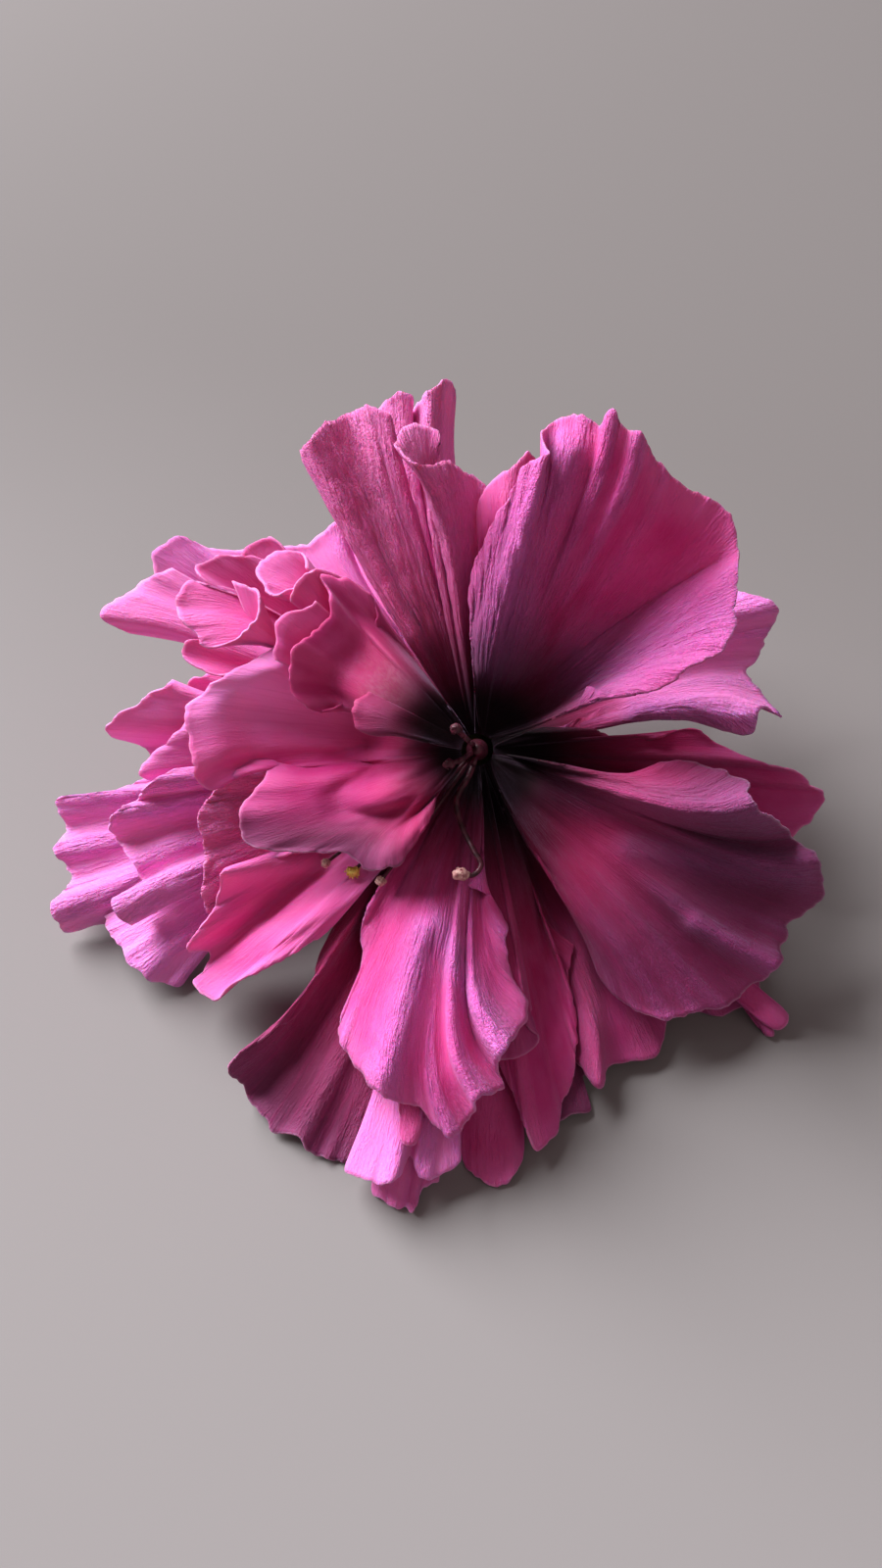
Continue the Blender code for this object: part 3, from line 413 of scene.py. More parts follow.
        (1, -22.3, 8), (-4, -20.5, 7)]),
    "right_main": dict(
        foot=-8, bow=8, rows=9, tone_and_painted_light=-0.8, lean=(-26, -0.015), crinkle=0.8, reach=1.6, lilac_highlight=True, margin=[
        (8, -15, 3), (16.5, -27, 6), (19, -35, 8), (24.5, -40.3, 9), (30, -41.8, 10), (37.3, -40, 8),
        (42, -37, 5), (46.5, -33.8, 9), (48.5, -27, 4), (53.8, -22.5, 3), (52.8, -17.5, 8),
        (50, -14.5, 3), (47, -11.5, 10), (43, -8.5, 17), (41.5, -5, 13), (36, -2.8, 10), (29, -2, 8),
        (24, -4.3, 6), (15, -6.3, -1)]),
    "upright_fan": dict(foot=-8, rows=9, tone_and_painted_light=0.0, crinkle=1.3, reach=1.5, lilac_highlight=True, margin=[
        (17, 10, 8), (24, 8.7, 14), (28.5, 9.3, 16), (33, 12.8, 15), (38.5, 15.5, 12.5), (40, 21, 7),
        (40.7, 30, 1), (39, 36.3, -2), (33, 40.2, 0), (28, 44.5, 3), (25.3, 49, 6), (23, 49.3, 5),
        (21, 52.7, 7), (19, 50.5, 5), (16.5, 52, 4), (12, 51.2, 0), (9.8, 48.5, 2), (10.7, 45.4, 9),
        (8, 44.5, 9), (5.5, 40.5, 7), (1, 32, 4), (-1, 26, 1), (-0.5, 18, -2)]),
    "left_main": dict(
        foot=-7, bow=6, rows=9, tone_and_painted_light=0.15, lean=(-1.0, 0.08), crinkle=0.12, reach=0.95, margin=[
        (-31, 16, 4), (-38, 12, 4), (-42.5, 9, 3), (-45.5, 5, 4), (-44, -1, 5), (-43.5, -4.5, 3),
        (-41, -6.3, 3), (-38.5, -3.5, 4), (-34, -0.7, 3), (-32.5, -4, 6), (-37, -10, 9), (-35, -15, 10),
        (-28, -16, 11), (-20, -16.3, 12), (-16.5, -19.3, 12), (-11, -16.5, 13), (-7, -10, 11),
        (-7, -5, 7)]),
    "rose_inner": dict(foot=-7, bow=2, rows=6, tone_and_painted_light=0.0, crinkle=0.1, reach=1.2, margin=[
        (-25.3, 23.3, 10), (-27, 22, 9), (-30, 21, 8), (-31.5, 18, 7), (-31.5, 14, 6)]),
    "rose_lobe": dict(foot=-6, bow=2, rows=7, tone_and_painted_light=-0.2, crinkle=0.1, reach=1.6, margin=[
        (-15.5, 19, 8), (-16.4, 24, 8), (-20, 26.2, 8), (-24.4, 27.2, 8), (-22.6, 23.6, 10),
        (-24, 20, 11), (-27.6, 16.8, 12), (-29.3, 13, 13), (-28.6, 9, 13.5), (-25.8, 6.1, 14),
        (-22.3, 6.3, 13.5), (-18.7, 8.2, 12)]),
    "rose_small": dict(foot=-5, bow=2, rows=5, tone_and_painted_light=-0.2, crinkle=0.1, reach=1.5, margin=[
        (-17, 9, 11), (-19.2, 6.5, 13), (-18, 3, 14), (-15.5, 2.2, 14), (-13, 3.2, 12)]),
}


def face_axes():
    """Unit vectors of the face plane in the world: right, up and out."""
    lean = math.radians(FACE_LEAN)
    right = np.array((1.0, 0.0, 0.0))
    up = np.array((0.0, math.sin(lean), math.cos(lean)))
    out = np.array((0.0, -math.cos(lean), math.sin(lean)))
    return np.array((right, up, out))


def to_world(seen):
    """World positions, in metres, of points given as right, up and out."""
    seen = np.asarray(seen, float)
    nearer = 1.0 - seen[..., 2:3] / EYE
    flat = np.concatenate((seen[..., :2] * nearer, seen[..., 2:3]), axis=-1)
    return (np.array(THROAT) + flat @ face_axes()) * MM


def table_under(up):
    """How far out the middle of a petal that touches the table is, seen at this height up."""
    lean = math.radians(FACE_LEAN)
    height = THROAT[2] - PETAL_THICKNESS / 2
    return (-height - math.cos(lean) * up) / (math.sin(lean) - math.cos(lean) * up / EYE)


class Relief:
    """The frontmost surface of what has been laid so far, as a height map over the face plane."""

    def __init__(self):
        self.side = int(2 * RELIEF_HALF / RELIEF_CELL) + 1
        self.map = np.full((self.side, self.side), FAR_BACK)

    def cells(self, seen):
        """The map's cells that these points lie over."""
        index = np.rint((seen[..., :2] + RELIEF_HALF) / RELIEF_CELL).astype(int)
        return np.clip(index, 0, self.side - 1)

    def rolled(self, radius):
        """The map as a ball of this radius feels it: the height of the ball's middle."""
        reach = int(radius / RELIEF_CELL)
        raised = np.full_like(self.map, FAR_BACK)
        for i in range(-reach, reach + 1):
            for j in range(-reach, reach + 1):
                flat = math.hypot(i, j) * RELIEF_CELL
                if flat <= radius:
                    lift = math.sqrt(radius * radius - flat * flat)
                    raised = np.maximum(raised, np.roll(self.map, (i, j), (0, 1)) + lift)
        return raised

    def add(self, seen):
        """Raises the map to these points."""
        index = self.cells(seen)
        np.maximum.at(self.map, (index[..., 0], index[..., 1]), seen[..., 2])


def through(points, spans):
    """A smooth curve through the points, with this many steps from each to the next."""
    points = np.asarray(points, float)
    padded = np.vstack((2 * points[0] - points[1], points, 2 * points[-1] - points[-2]))
    curve = []
    for i in range(len(points) - 1):
        a, b, c, d = padded[i : i + 4]
        for k in range(spans):
            t = k / spans
            slope = (c - a) / 2
            square = a - 2.5 * b + 2 * c - d / 2
            cube = (d - a) / 2 + 1.5 * (b - c)
            curve.append(b + slope * t + square * t**2 + cube * t**3)
    curve.append(points[-1])
    return np.array(curve)


def unfolded(edge):
    """The margin turned about the throat, so that every point lies counter-clockwise of the one before."""
    clocks = np.unwrap(np.arctan2(edge[:, 1], edge[:, 0]))
    highest_so_far = np.maximum.accumulate(clocks)
    lowest_to_come = np.minimum.accumulate(clocks[::-1])[::-1]
    even = np.linspace(clocks.min(), clocks.max(), len(clocks))
    steady = (1 - EVENNESS) * (highest_so_far + lowest_to_come) / 2 + EVENNESS * even
    reach = np.hypot(edge[:, 0], edge[:, 1])
    return np.stack((reach * np.cos(steady), reach * np.sin(steady)), axis=1)


def neighbours(values, axis=0):
    """The values before and after each one along an axis. The ends are their own neighbours."""
    padded = np.pad(values, [(int(k == axis),) * 2 for k in range(values.ndim)], mode="edge")
    padded = np.moveaxis(padded, axis, 0)
    return np.moveaxis(padded[:-2], 0, axis), np.moveaxis(padded[2:], 0, axis)


def evened(values, rounds):
    """The values, along their first axis, without their short waves."""
    for _ in range(rounds):
        before, after = neighbours(values)
        values = (before + 2 * values + after) / 4
    return values


def petal_grid(petal):
    """Points of a petal, across by along, whose veins run from its foot on the column to its margin."""
    edge = through(petal["margin"], petal["spans"])
    middle = edge[:, :2].mean(axis=0)
    clock = math.atan2(middle[1], middle[0])
    half = math.radians(FOOT_HALF_ANGLE)
    angles = clock + np.linspace(-half, half, len(edge))
    round_column = np.stack((np.cos(angles), np.sin(angles)), axis=1)
    foot = np.column_stack((FOOT_RADIUS * round_column, np.full(len(edge), petal["foot"])))
    along = np.linspace(0.0, 1.0, petal["rows"] + 1)[None, :, None]
    aim = edge.copy()
    aim[:, :2] = unfolded(edge)
    aim[:, 2] = evened(edge[:, 2], EVENING_ROUNDS)
    grid = foot[:, None, :] * (1 - along) + aim[:, None, :] * along
    ahead = np.array((math.cos(clock), math.sin(clock)))
    beside = np.array((-ahead[1], ahead[0]))
    sideways = (aim[:, :2] - foot[:, :2]) @ beside
    broader = along[..., 0] ** BREADTH_POWER - along[..., 0]
    grid[..., :2] += (sideways[:, None] * broader)[..., None] * beside
    grid += (edge - aim)[:, None, :] * along ** np.array((MARGIN_POWER, MARGIN_POWER, FOLD_POWER))
    grid[..., 2] += petal["bow"] * np.sin(math.pi * along[..., 0])
    return grid


def facets(grid):
    """Fine points on the two triangles of every cell, as cells across, cells along, samples and 3."""
    steps = (np.arange(SAMPLES_PER_CELL + 1)) / SAMPLES_PER_CELL
    a, b = (x.ravel()[None, None, :, None] for x in np.meshgrid(steps, steps))
    near, across = grid[:-1, :-1, None], grid[1:, :-1, None]
    along, far = grid[:-1, 1:, None], grid[1:, 1:, None]
    first = near + a * (across - near) + b * (along - near)
    second = far + (1 - a) * (along - far) + (1 - b) * (across - far)
    return np.where(a + b <= 1, first, second)


def ease(grid):
    """Raises the low side of every fold steeper than STEEPEST, so that the petal keeps its thickness."""
    grid[:, 0, 2] = grid[:, 0, 2].max()
    out = grid[..., 2]
    across = np.hypot(*np.moveaxis(np.diff(grid[..., :2], axis=0), -1, 0))
    across *= np.minimum(STEEPEST, STEEPEST_PER_MM * across)
    along = STEEPEST * np.hypot(*np.moveaxis(np.diff(grid[..., :2], axis=1), -1, 0))
    for _ in range(max(grid.shape)):
        out[1:] = np.maximum(out[1:], out[:-1] - across)
        out[:-1] = np.maximum(out[:-1], out[1:] - across)
        out[:, 1:] = np.maximum(out[:, 1:], out[:, :-1] - along)
        out[:, :-1] = np.maximum(out[:, :-1], out[:, 1:] - along)


def softened(lift):
    """A lift across a petal that is nowhere below the given one and has no sharp steps."""
    for _ in range(SOFTENING_ROUNDS):
        lift = np.maximum(np.maximum(*neighbours(lift)), lift)
    return evened(lift, SOFTENING_ROUNDS)


def lay(grid, relief):
    """Raises the petal off the table and off what lies behind it, then adds it to the relief."""
    rolled = relief.rolled(PETAL_THICKNESS + PETAL_GAP)
    fine = facets(grid)
    index = relief.cells(fine)
    least = np.maximum(rolled[index[..., 0], index[..., 1]], table_under(fine[..., 1]))
    short = np.maximum(least - fine[..., 2], 0.0).max(axis=2)
    lift = np.zeros(grid.shape[:2])
    for i in (0, 1):
        for j in (0, 1):
            corner = lift[i : i + short.shape[0], j : j + short.shape[1]]
            np.maximum(corner, short, out=corner)
    grid[..., 2] += softened(lift)
    ease(grid)
    relief.add(facets(grid))


def lay_filament(points, radius, relief):
    """Raises a filament off what lies behind it, then adds it to the relief."""
    path = through(points, FILAMENT_SPANS)
    rolled = relief.rolled(radius + PETAL_THICKNESS / 2 + PETAL_GAP)
    index = relief.cells(path)
    short = np.maximum(rolled[index[:, 0], index[:, 1]], table_under(path[:, 1])) - path[:, 2]
    short[np.hypot(path[:, 0], path[:, 1]) < FOOT_RADIUS / 2] = 0.0
    raised = np.maximum(short, 0.0)
    raised[1:] = np.maximum(raised[1:], raised[:-1])
    path[:, 2] += raised
    steps = np.linspace(0.0, len(path) - 1, FILAMENT_SAMPLES * len(path))
    fine = np.stack([np.interp(steps, np.arange(len(path)), path[:, k]) for k in range(3)], axis=1)
    for side in (-radius, 0.0, radius):
        for over in (-radius, 0.0, radius):
            relief.add(fine + (side, over, radius))
    return path


def placed(name, data):
    """An object of the scene that shows this data."""
    made = bpy.data.objects.new(name, data)
    bpy.context.scene.collection.objects.link(made)
    return made


def thicken(piece, thickness):
    """Thickens a sheet by the same amount on both sides."""
    layer = piece.modifiers.new("thickness", "SOLIDIFY")
    layer.thickness = thickness * MM
    layer.offset = 0.0


def finished_mesh(piece):
    """The piece's mesh as its modifiers leave it. The piece itself goes."""
    bpy.context.view_layer.update()
    mesh = bpy.data.meshes.new_from_object(piece.evaluated_get(bpy.context.evaluated_depsgraph_get()))
    bpy.data.objects.remove(piece)
    return mesh


def star_cup(name, profile, whole_rows, lobes):
    """A smooth cup turned about the bloom's axis, whose rim is drawn out into pointed lobes."""
    steps = lobes * STEPS_PER_LOBE
    rim = profile[whole_rows - 1][0]
    cup = bmesh.new()
    rows = []
    for radius, out in profile[1:]:
        row = []
        for k in range(steps):
            angle = 2 * math.pi * k / steps
            point = abs(math.cos(lobes * angle / 2)) ** LOBE_POWER
            drawn = radius if radius <= rim else rim + (radius - rim) * (LOBE_VALLEY + LOBE_DRAW * point)
            drooped = out if radius <= rim else profile[whole_rows - 1][1] * (1 - point) + out * point
            clock = angle + math.radians(LOBES_TURN)
            row.append(cup.verts.new(to_world((drawn * math.cos(clock), drawn * math.sin(clock), drooped))))
        rows.append(row)
    middle = cup.verts.new(to_world((0.0, 0.0, profile[0][1])))
    for k in range(steps):
        following = (k + 1) % steps
        cup.faces.new((middle, rows[0][k], rows[0][following]))
        for inner, outer in zip(rows, rows[1:]):
            cup.faces.new((inner[k], outer[k], inner[following]))
            cup.faces.new((outer[following], inner[following], outer[k]))
    mesh = bpy.data.meshes.new(name)
    cup.to_mesh(mesh)
    cup.free()
    piece = placed(name, mesh)
    thicken(piece, CALYX_THICKNESS)
    piece.modifiers.new("smooth", "SUBSURF").levels = CUP_SMOOTHING
    return finished_mesh(piece)


def rod(name, path, radii, sides):
    """The mesh of a round rod with closed ends along a path in metres."""
    curve = bpy.data.curves.new(name, "CURVE")
    curve.dimensions = "3D"
    curve.bevel_depth = MM
    curve.bevel_resolution = (sides - 4) // 2
    curve.use_fill_caps = True
    spline = curve.splines.new("POLY")
    spline.points.add(len(path) - 1)
    for point, place, radius in zip(spline.points, path, radii):
        point.co = (*place, 1.0)
        point.radius = radius
    mesh = finished_mesh(placed(name + "_path", curve))
    closed = bmesh.new()
    closed.from_mesh(mesh)
    bmesh.ops.remove_doubles(closed, verts=closed.verts, dist=WELD_DISTANCE)
    bmesh.ops.recalc_face_normals(closed, faces=closed.faces)
    closed.to_mesh(mesh)
    closed.free()
    return mesh


def scatter(first, second, seed):
    """A fixed draw from 0 to 1 for every pair of whole numbers."""
    a, b, c, d = SCATTER_PRIMES
    mixed = (first * a + second * b + seed * c) & 0xFFFFFFFF
    mixed = ((mixed ^ (mixed >> 13)) * d) & 0xFFFFFFFF
    return ((mixed ^ (mixed >> 16)) & 0xFFFF) / 65535.0


def noise(x, y, seed):
    """Smooth noise from -1 to 1 whose lumps are about one unit across."""
    x, y = np.broadcast_arrays(np.asarray(x, float), np.asarray(y, float))
    left, low = np.floor(x).astype(np.int64), np.floor(y).astype(np.int64)
    a, b = x - left, y - low
    a, b = a * a * (3 - 2 * a), b * b * (3 - 2 * b)
    bottom = scatter(left, low, seed) * (1 - a) + scatter(left + 1, low, seed) * a
    top = scatter(left, low + 1, seed) * (1 - a) + scatter(left + 1, low + 1, seed) * a
    return 2 * (bottom * (1 - b) + top * b) - 1


def ramp(value, start, end):
    """0 below start, 1 above end, and smooth between them."""
    share = np.clip((value - start) / (end - start), 0.0, 1.0)
    return share * share * (3 - 2 * share)


def spline_weights(places, count):
    """Rows of weights that read a smooth curve through count points at these places."""
    weights = np.zeros((len(places), count))
    for row, place in zip(weights, places):
        start = min(int(place), count - 2)
        t = place - start
        shares = (
            0.5 * (-t + 2 * t * t - t**3),
            0.5 * (2 - 5 * t * t + 3 * t**3),
            0.5 * (t + 4 * t * t - 3 * t**3),
            0.5 * (-t * t + t**3),
        )
        for offset, share in zip((-1, 0, 1, 2), shares):
            index = start + offset
            if index < 0:
                row[0] += 2 * share
                row[1] -= share
            elif index >= count:
                row[count - 1] += 2 * share
                row[count - 2] -= share
            else:
                row[index] += share
    return weights


def blurred(field, times):
    """The field after this many rounds of averaging each point with its neighbours."""
    for _ in range(times):
        for axis in (0, 1):
            before, after = neighbours(field, axis)
            field = (before + field + after) / 3
    return field


def widened(field, times):
    """The field after this many rounds of giving each point the highest value round it."""
    for _ in range(times):
        for axis in (0, 1):
            field = np.maximum(np.maximum(*neighbours(field, axis)), field)
    return field


def fine_surface(coarse, crests, seed):
    """The laid petal on a fine grid, with its pleats, its ruffled margin and what its material reads."""
    steps = np.linspace(0, len(coarse) - 1, MARGIN_SAMPLES)
    dense = spline_weights(steps, len(coarse)) @ coarse[:, -1]
    length = np.concatenate(([0.0], np.cumsum(np.linalg.norm(np.diff(dense, axis=0), axis=1))))
    ribs = np.linalg.norm(np.diff(coarse, axis=1), axis=2).sum(axis=1)
    columns = int(length[-1] / FINE_ACROSS) + 2
    inner = int(ribs.mean() * COARSE_SHARE / COARSE_ALONG) + 1
    outer = int(ribs.mean() * (1 - COARSE_SHARE) / FINE_ALONG) + 2
    arc = np.linspace(0, length[-1], columns)
    coarse_share = np.linspace(0, COARSE_SHARE, inner, endpoint=False)
    share = np.concatenate((coarse_share, np.linspace(COARSE_SHARE, 1, outer)))
    by_column = spline_weights(np.interp(arc, length, steps), len(coarse))
    by_row = spline_weights(share * (coarse.shape[1] - 1), coarse.shape[1])
    surface = np.einsum("ia,abk,jb->ijk", by_column, coarse, by_row)
    rib = (by_column @ ribs)[:, None]
    share, arc = np.broadcast_arrays(share[None, :], arc[:, None])

    marked = raise_crests(surface, crests)

    # Pleats, ruffles, notches and curls, which grow towards the margin.
    for count, (height, power, wave, change) in enumerate(RUFFLES):
        surface[..., 2] += height * share**power * noise(arc / wave, share * change, seed + count)
    outward = surface[:, -1:, :2] - surface[:, -3:-2, :2]
    outward /= np.linalg.norm(outward, axis=2, keepdims=True) + TINY
    (deep, long), (shallow, short) = NOTCHES
    notches = deep * noise(arc / long, 0.0, seed + 3) + shallow * noise(arc / short, 0.0, seed + 4)
    surface[..., :2] += outward * (share**NOTCH_POWER * notches)[..., None]
    curl = noise(arc / CURL_LENGTH, 0.5, seed + 5)
    surface[..., 2] += CURL_HEIGHT * curl * ramp(share, 1 - CURL_WIDTH / rib, 1.0) ** 2

    edge = np.minimum((1 - share) * rib, np.minimum(arc, length[-1] - arc) * share)
    smooth = blurred(surface[..., 2], BEND_ROUNDS[0])
    bend = np.gradient(np.gradient(smooth, axis=0), axis=0) / FINE_ACROSS**2
    crest = np.maximum(BEND_SHARE * ramp(-blurred(bend, BEND_ROUNDS[1]), *BEND_RANGE), marked)
    return surface, {"arc": arc, "share": share, "rib": rib * share, "edge": edge, "crest": crest}


def distance_to(points, path):
    """How far each point lies from a path of straight runs, both seen from the front."""
    nearest = np.full(points.shape[:-1], np.inf)
    for start, end in zip(path[:-1], path[1:]):
        start, run = np.array(start, float), np.subtract(end, start)
        share = np.clip(((points - start) @ run) / (run @ run), 0.0, 1.0)
        nearest = np.minimum(nearest, np.linalg.norm(points - start - share[..., None] * run, axis=-1))
    return nearest


def raise_crests(surface, crests):
    """Draws rounded folds up and sharp creases down along their paths, and marks the raised folds."""
    marked = np.zeros(surface.shape[:2])
    for path, height, width in crests:
        apart = distance_to(surface[..., :2], through(path, CREST_SPANS)) / width
        near = np.exp(-(apart**2))
        surface[..., 2] += height * (near if height > 0 else np.exp(-apart))
        if height >= 0:
            marked = np.maximum(marked, near)
    return marked


def settle(surface, relief):
    """Raises a fine petal smoothly off what lies behind it, then adds it to the relief."""
    rolled = relief.rolled(FINE_THICKNESS + FINE_GAP)
    index = relief.cells(surface)
    least = np.maximum(rolled[index[..., 0], index[..., 1]], table_under(surface[..., 1]))
    lift = np.maximum(least - surface[..., 2], 0.0)
    surface[..., 2] += blurred(widened(lift, SETTLING_ROUNDS), SETTLING_ROUNDS)
    relief.add(surface)
    relief.add((surface[1:] + surface[:-1]) / 2)
    relief.add((surface[:, 1:] + surface[:, :-1]) / 2)


def ropes(x, y, seed):
    """Rounded ridges from 0 to 1 with narrow grooves between them."""
    return np.abs(noise(x, y, seed)) ** RIDGE_POWER


def crinkled(world, facts, strength, seed):
    """The petal's points in millimetres, with ridges along its veins that are highest on its crests."""
    normal = np.cross(np.gradient(world, axis=1), np.gradient(world, axis=0))
    normal /= np.linalg.norm(normal, axis=2, keepdims=True) + TINY
    arc, rib = facts["arc"], facts["rib"]
    outer = ramp(facts["share"], *NARROW_SHARES)
    wander = noise(arc / WANDER_LENGTH, rib / RIDGE_LENGTH, seed + 6)
    wide = ropes(arc / WIDE_RIDGES + wander, rib / RIDGE_LENGTH, seed + 7)
    narrow = ropes(arc / NARROW_RIDGES + wander, rib / RIDGE_LENGTH, seed + 8)
    beads = noise(arc / BEAD_ACROSS, rib / BEAD_ALONG, seed + 9)
    amount = strength * ramp(rib, *CRINKLE_STARTS) * (CRINKLE_FLAT + CRINKLE_CREST * facts["crest"])
    facts["wrinkle"] = amount
    height = RIDGE_HEIGHT * amount * (wide * (1 - outer) + narrow * outer + BEAD_SHARE * beads)
    return world + normal * height[..., None]


def grid_mesh(name, world, values):
    """A sheet of quads through the points, given in metres, with these values at its points."""
    columns, rows = world.shape[:2]
    mesh = bpy.data.meshes.new(name)
    index = np.arange(columns * rows).reshape(columns, rows)
    corners = (index[:-1, :-1], index[:-1, 1:], index[1:, 1:], index[1:, :-1])
    quads = np.stack(corners, axis=-1).reshape(-1, 4)
    mesh.from_pydata(world.reshape(-1, 3), [], quads)
    mesh.validate()
    mesh.shade_smooth()
    for key, value in values.items():
        made = mesh.attributes.new(key, "FLOAT", "POINT")
        made.data.foreach_set("value", np.ascontiguousarray(value, np.float32).ravel())
    return mesh


def show(mesh, name, node, finishes):
    """An object of the scene that stands for this CAD node."""
    made = placed(name, mesh)
    for finish in finishes:
        mesh.materials.append(finish)
    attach(made, "root")
    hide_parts(node)
    return made


class Nodes:
    """A material, with short calls for its node tree."""

    def __init__(self, name):
        self.material = bpy.data.materials.new(name)
        self.material.use_nodes = True
        self.tree = self.material.node_tree
        self.shader = self.tree.nodes["Principled BSDF"]

    def feed(self, node, sockets):
        """Gives the node's sockets a number, a colour, or a link to another node's output."""
        for key, given in sockets.items():
            socket = node.inputs[key]
            if isinstance(given, (int, float)):
                socket.default_value = given
            elif isinstance(given, tuple):
                socket.default_value = (*given, 1.0)[: len(socket.default_value)]
            else:
                self.tree.links.new(given, socket)

    def make(self, kind, sockets=None, **settings):
        """A new node with these settings and these values or links at its sockets."""
        made = self.tree.nodes.new("ShaderNode" + kind)
        for key, value in settings.items():
            setattr(made, key, value)
        self.feed(made, sockets or {})
        return made

    def value(self, name):
        """The value that the mesh has under this name."""
        return self.make("Attribute", attribute_name=name).outputs["Fac"]

    def maths(self, operation, first, second=0.0):
        """The result of a sum on one or two values."""
        return self.make("Math", {0: first, 1: second}, operation=operation).outputs[0]

    def times(self, first, second):
        """The product of two values."""
        return self.maths("MULTIPLY", first, second)

    def remap(self, source, low, high, to_low=0.0, to_high=1.0):
        """The value eased from one range into another."""
        sockets = {"Value": source, "From Min": low, "From Max": high, "To Min": to_low, "To Max": to_high}
        return self.make("MapRange", sockets, interpolation_type="SMOOTHSTEP").outputs["Result"]

    def fade(self, source, low, high):
        """1 below the low end, 0 above the high end, and eased between them."""
        return self.remap(source, low, high, 1.0, 0.0)

    def blend(self, share, first, second):
        """The first colour where the share is 0, and the second where it is 1."""
        return self.make("Mix", {0: share, 6: first, 7: second}, data_type="RGBA").outputs[2]

    def vector(self, x, y, z):
        """Three values as one place."""
        return self.make("CombineXYZ", {0: x, 1: y, 2: z}).outputs[0]

    def noise(self, place, scale, detail=2.0, roughness=0.5):
        """Smooth noise from 0 to 1."""
        sockets = {"Vector": place, "Scale": scale, "Detail": detail, "Roughness": roughness}
        return self.make("TexNoise", sockets).outputs["Fac"]

    def bump(self, heights, distance, strength):
        """Bends the shader's normals by these heights."""
        made = self.make("Bump", {"Height": heights, "Distance": distance, "Strength": strength})
        self.feed(self.shader, {"Normal": made.outputs["Normal"]})


def petal_material():
    """Pink petal tissue: nearly black in the throat, its own dark heart with painted shade, veined and
    crinkled, with painted shade on petals in shade and painted highlights on its crests and along its rim.
    """
    m = Nodes("petal_tissue")
    arc, rib, edge, depth = m.value("arc"), m.value("rib"), m.value("edge"), m.value("depth")
    tone_and_painted_light, petal, wrinkle = m.value("tone_and_painted_light"), m.value("petal"), m.value("wrinkle")
    all_round = m.vector(arc, rib, petal)
    along_folds = m.vector(arc, m.times(rib, FOLD_STRETCH), petal)
    along_veins = m.vector(arc, m.times(rib, VEIN_STRETCH), petal)

    # The body: the petal's own tone with painted light, going over to painted shade on petals that lie in
    # shade, and to its dark heart, with painted shade, near the throat.
    body = m.blend(m.remap(tone_and_painted_light, 0.0, 1.0), DEEP_PINK, LIGHT_PINK)
    body = m.blend(m.fade(tone_and_painted_light, -1.0, 0.0), body, SHADED_PINK)
    colour = m.blend(m.remap(depth, *DEPTHS["heart"]), HEART_PINK, body)

    # What is painted over the body. Pale places are weaker on the petals with painted shade. The broad pale
    # margin is partly the petal's own and partly painted light, the rim and the crests get painted
    # highlights, and the creases painted shade.
    paling = m.remap(tone_and_painted_light, *PALING_PAINTED_LIGHTS, *PALING_SHARES)
    outer = m.remap(depth, *DEPTHS["edge"])
    mottle = m.remap(m.noise(all_round, *PATTERNS["mottle"]), *MOTTLE_RANGE)
    veins = m.remap(m.noise(along_veins, *PATTERNS["veins"]), *VEIN_RANGE)
    # The broad pale margin, partly the petal's own and partly painted light, weaker on petals with painted
    # shade.
    near_edge = m.times(m.times(outer, m.fade(edge, *EDGES["broad"])), paling)
    # A painted highlight along the rim, outside the throat.
    rim = m.times(outer, m.fade(edge, *EDGES["rim"]))
    # The painted highlight of the crests, lilac on some petals and warm pink on the rest.
    crest_highlight = m.blend(m.value("lilac_highlight"), CREST_HIGHLIGHT_WARM, CREST_HIGHLIGHT_LILAC)
    folds = m.noise(along_folds, *PATTERNS["folds"])
    grooves = m.maths("ABSOLUTE", m.maths("SUBTRACT", folds, 0.5))
    # Painted shade in the grooves of the crinkles, where the crinkles are strong.
    creases = m.times(m.fade(grooves, *CREASE_RANGE), m.remap(wrinkle, *WRINKLE_RANGE))
    layers = {
        "mottle": (m.times(paling, mottle), LIGHT_PINK),
        "veins": (veins, VEIN_AND_CREASE_SHADE_PINK),
        "edge": (near_edge, RIM_PINK),
        "rim": (rim, RIM_HIGHLIGHT),
        "crests": (m.times(m.value("crest"), paling), crest_highlight),
        "creases": (creases, VEIN_AND_CREASE_SHADE_PINK),
    }
    for name, (place, paint) in layers.items():
        colour = m.blend(m.times(place, SHARES[name]), colour, paint)
    # The near-black throat: its own dark heart together with painted shade of the deep throat.
    colour = m.blend(m.fade(depth, *DEPTHS["throat"]), colour, THROAT_DARK)

    grain = m.noise(all_round, *PATTERNS["grain"])
    heights = m.maths("ADD", m.times(grooves, GROOVE_HEIGHT), m.times(grain, GRAIN_HEIGHT))
    m.bump(m.times(heights, m.maths("ADD", wrinkle, SMOOTH_WRINKLE)), BUMP_DISTANCE * MM, 1.0)
    m.feed(m.shader, {
        "Base Color": colour,
        "Roughness": m.remap(m.noise(all_round, *PATTERNS["gloss"]), *GLOSS_RANGE),
        "Specular IOR Level": 0.14,
        "Sheen Weight": 0.14,
        "Sheen Roughness": 0.4,
        "Sheen Tint": (0.95, 0.65, 1.0),
        "Subsurface Weight": 0.4,
        "Subsurface Radius": (1.0, 0.15, 0.35),
        "Subsurface Scale": 0.5 * MM,
    })
    return m.material


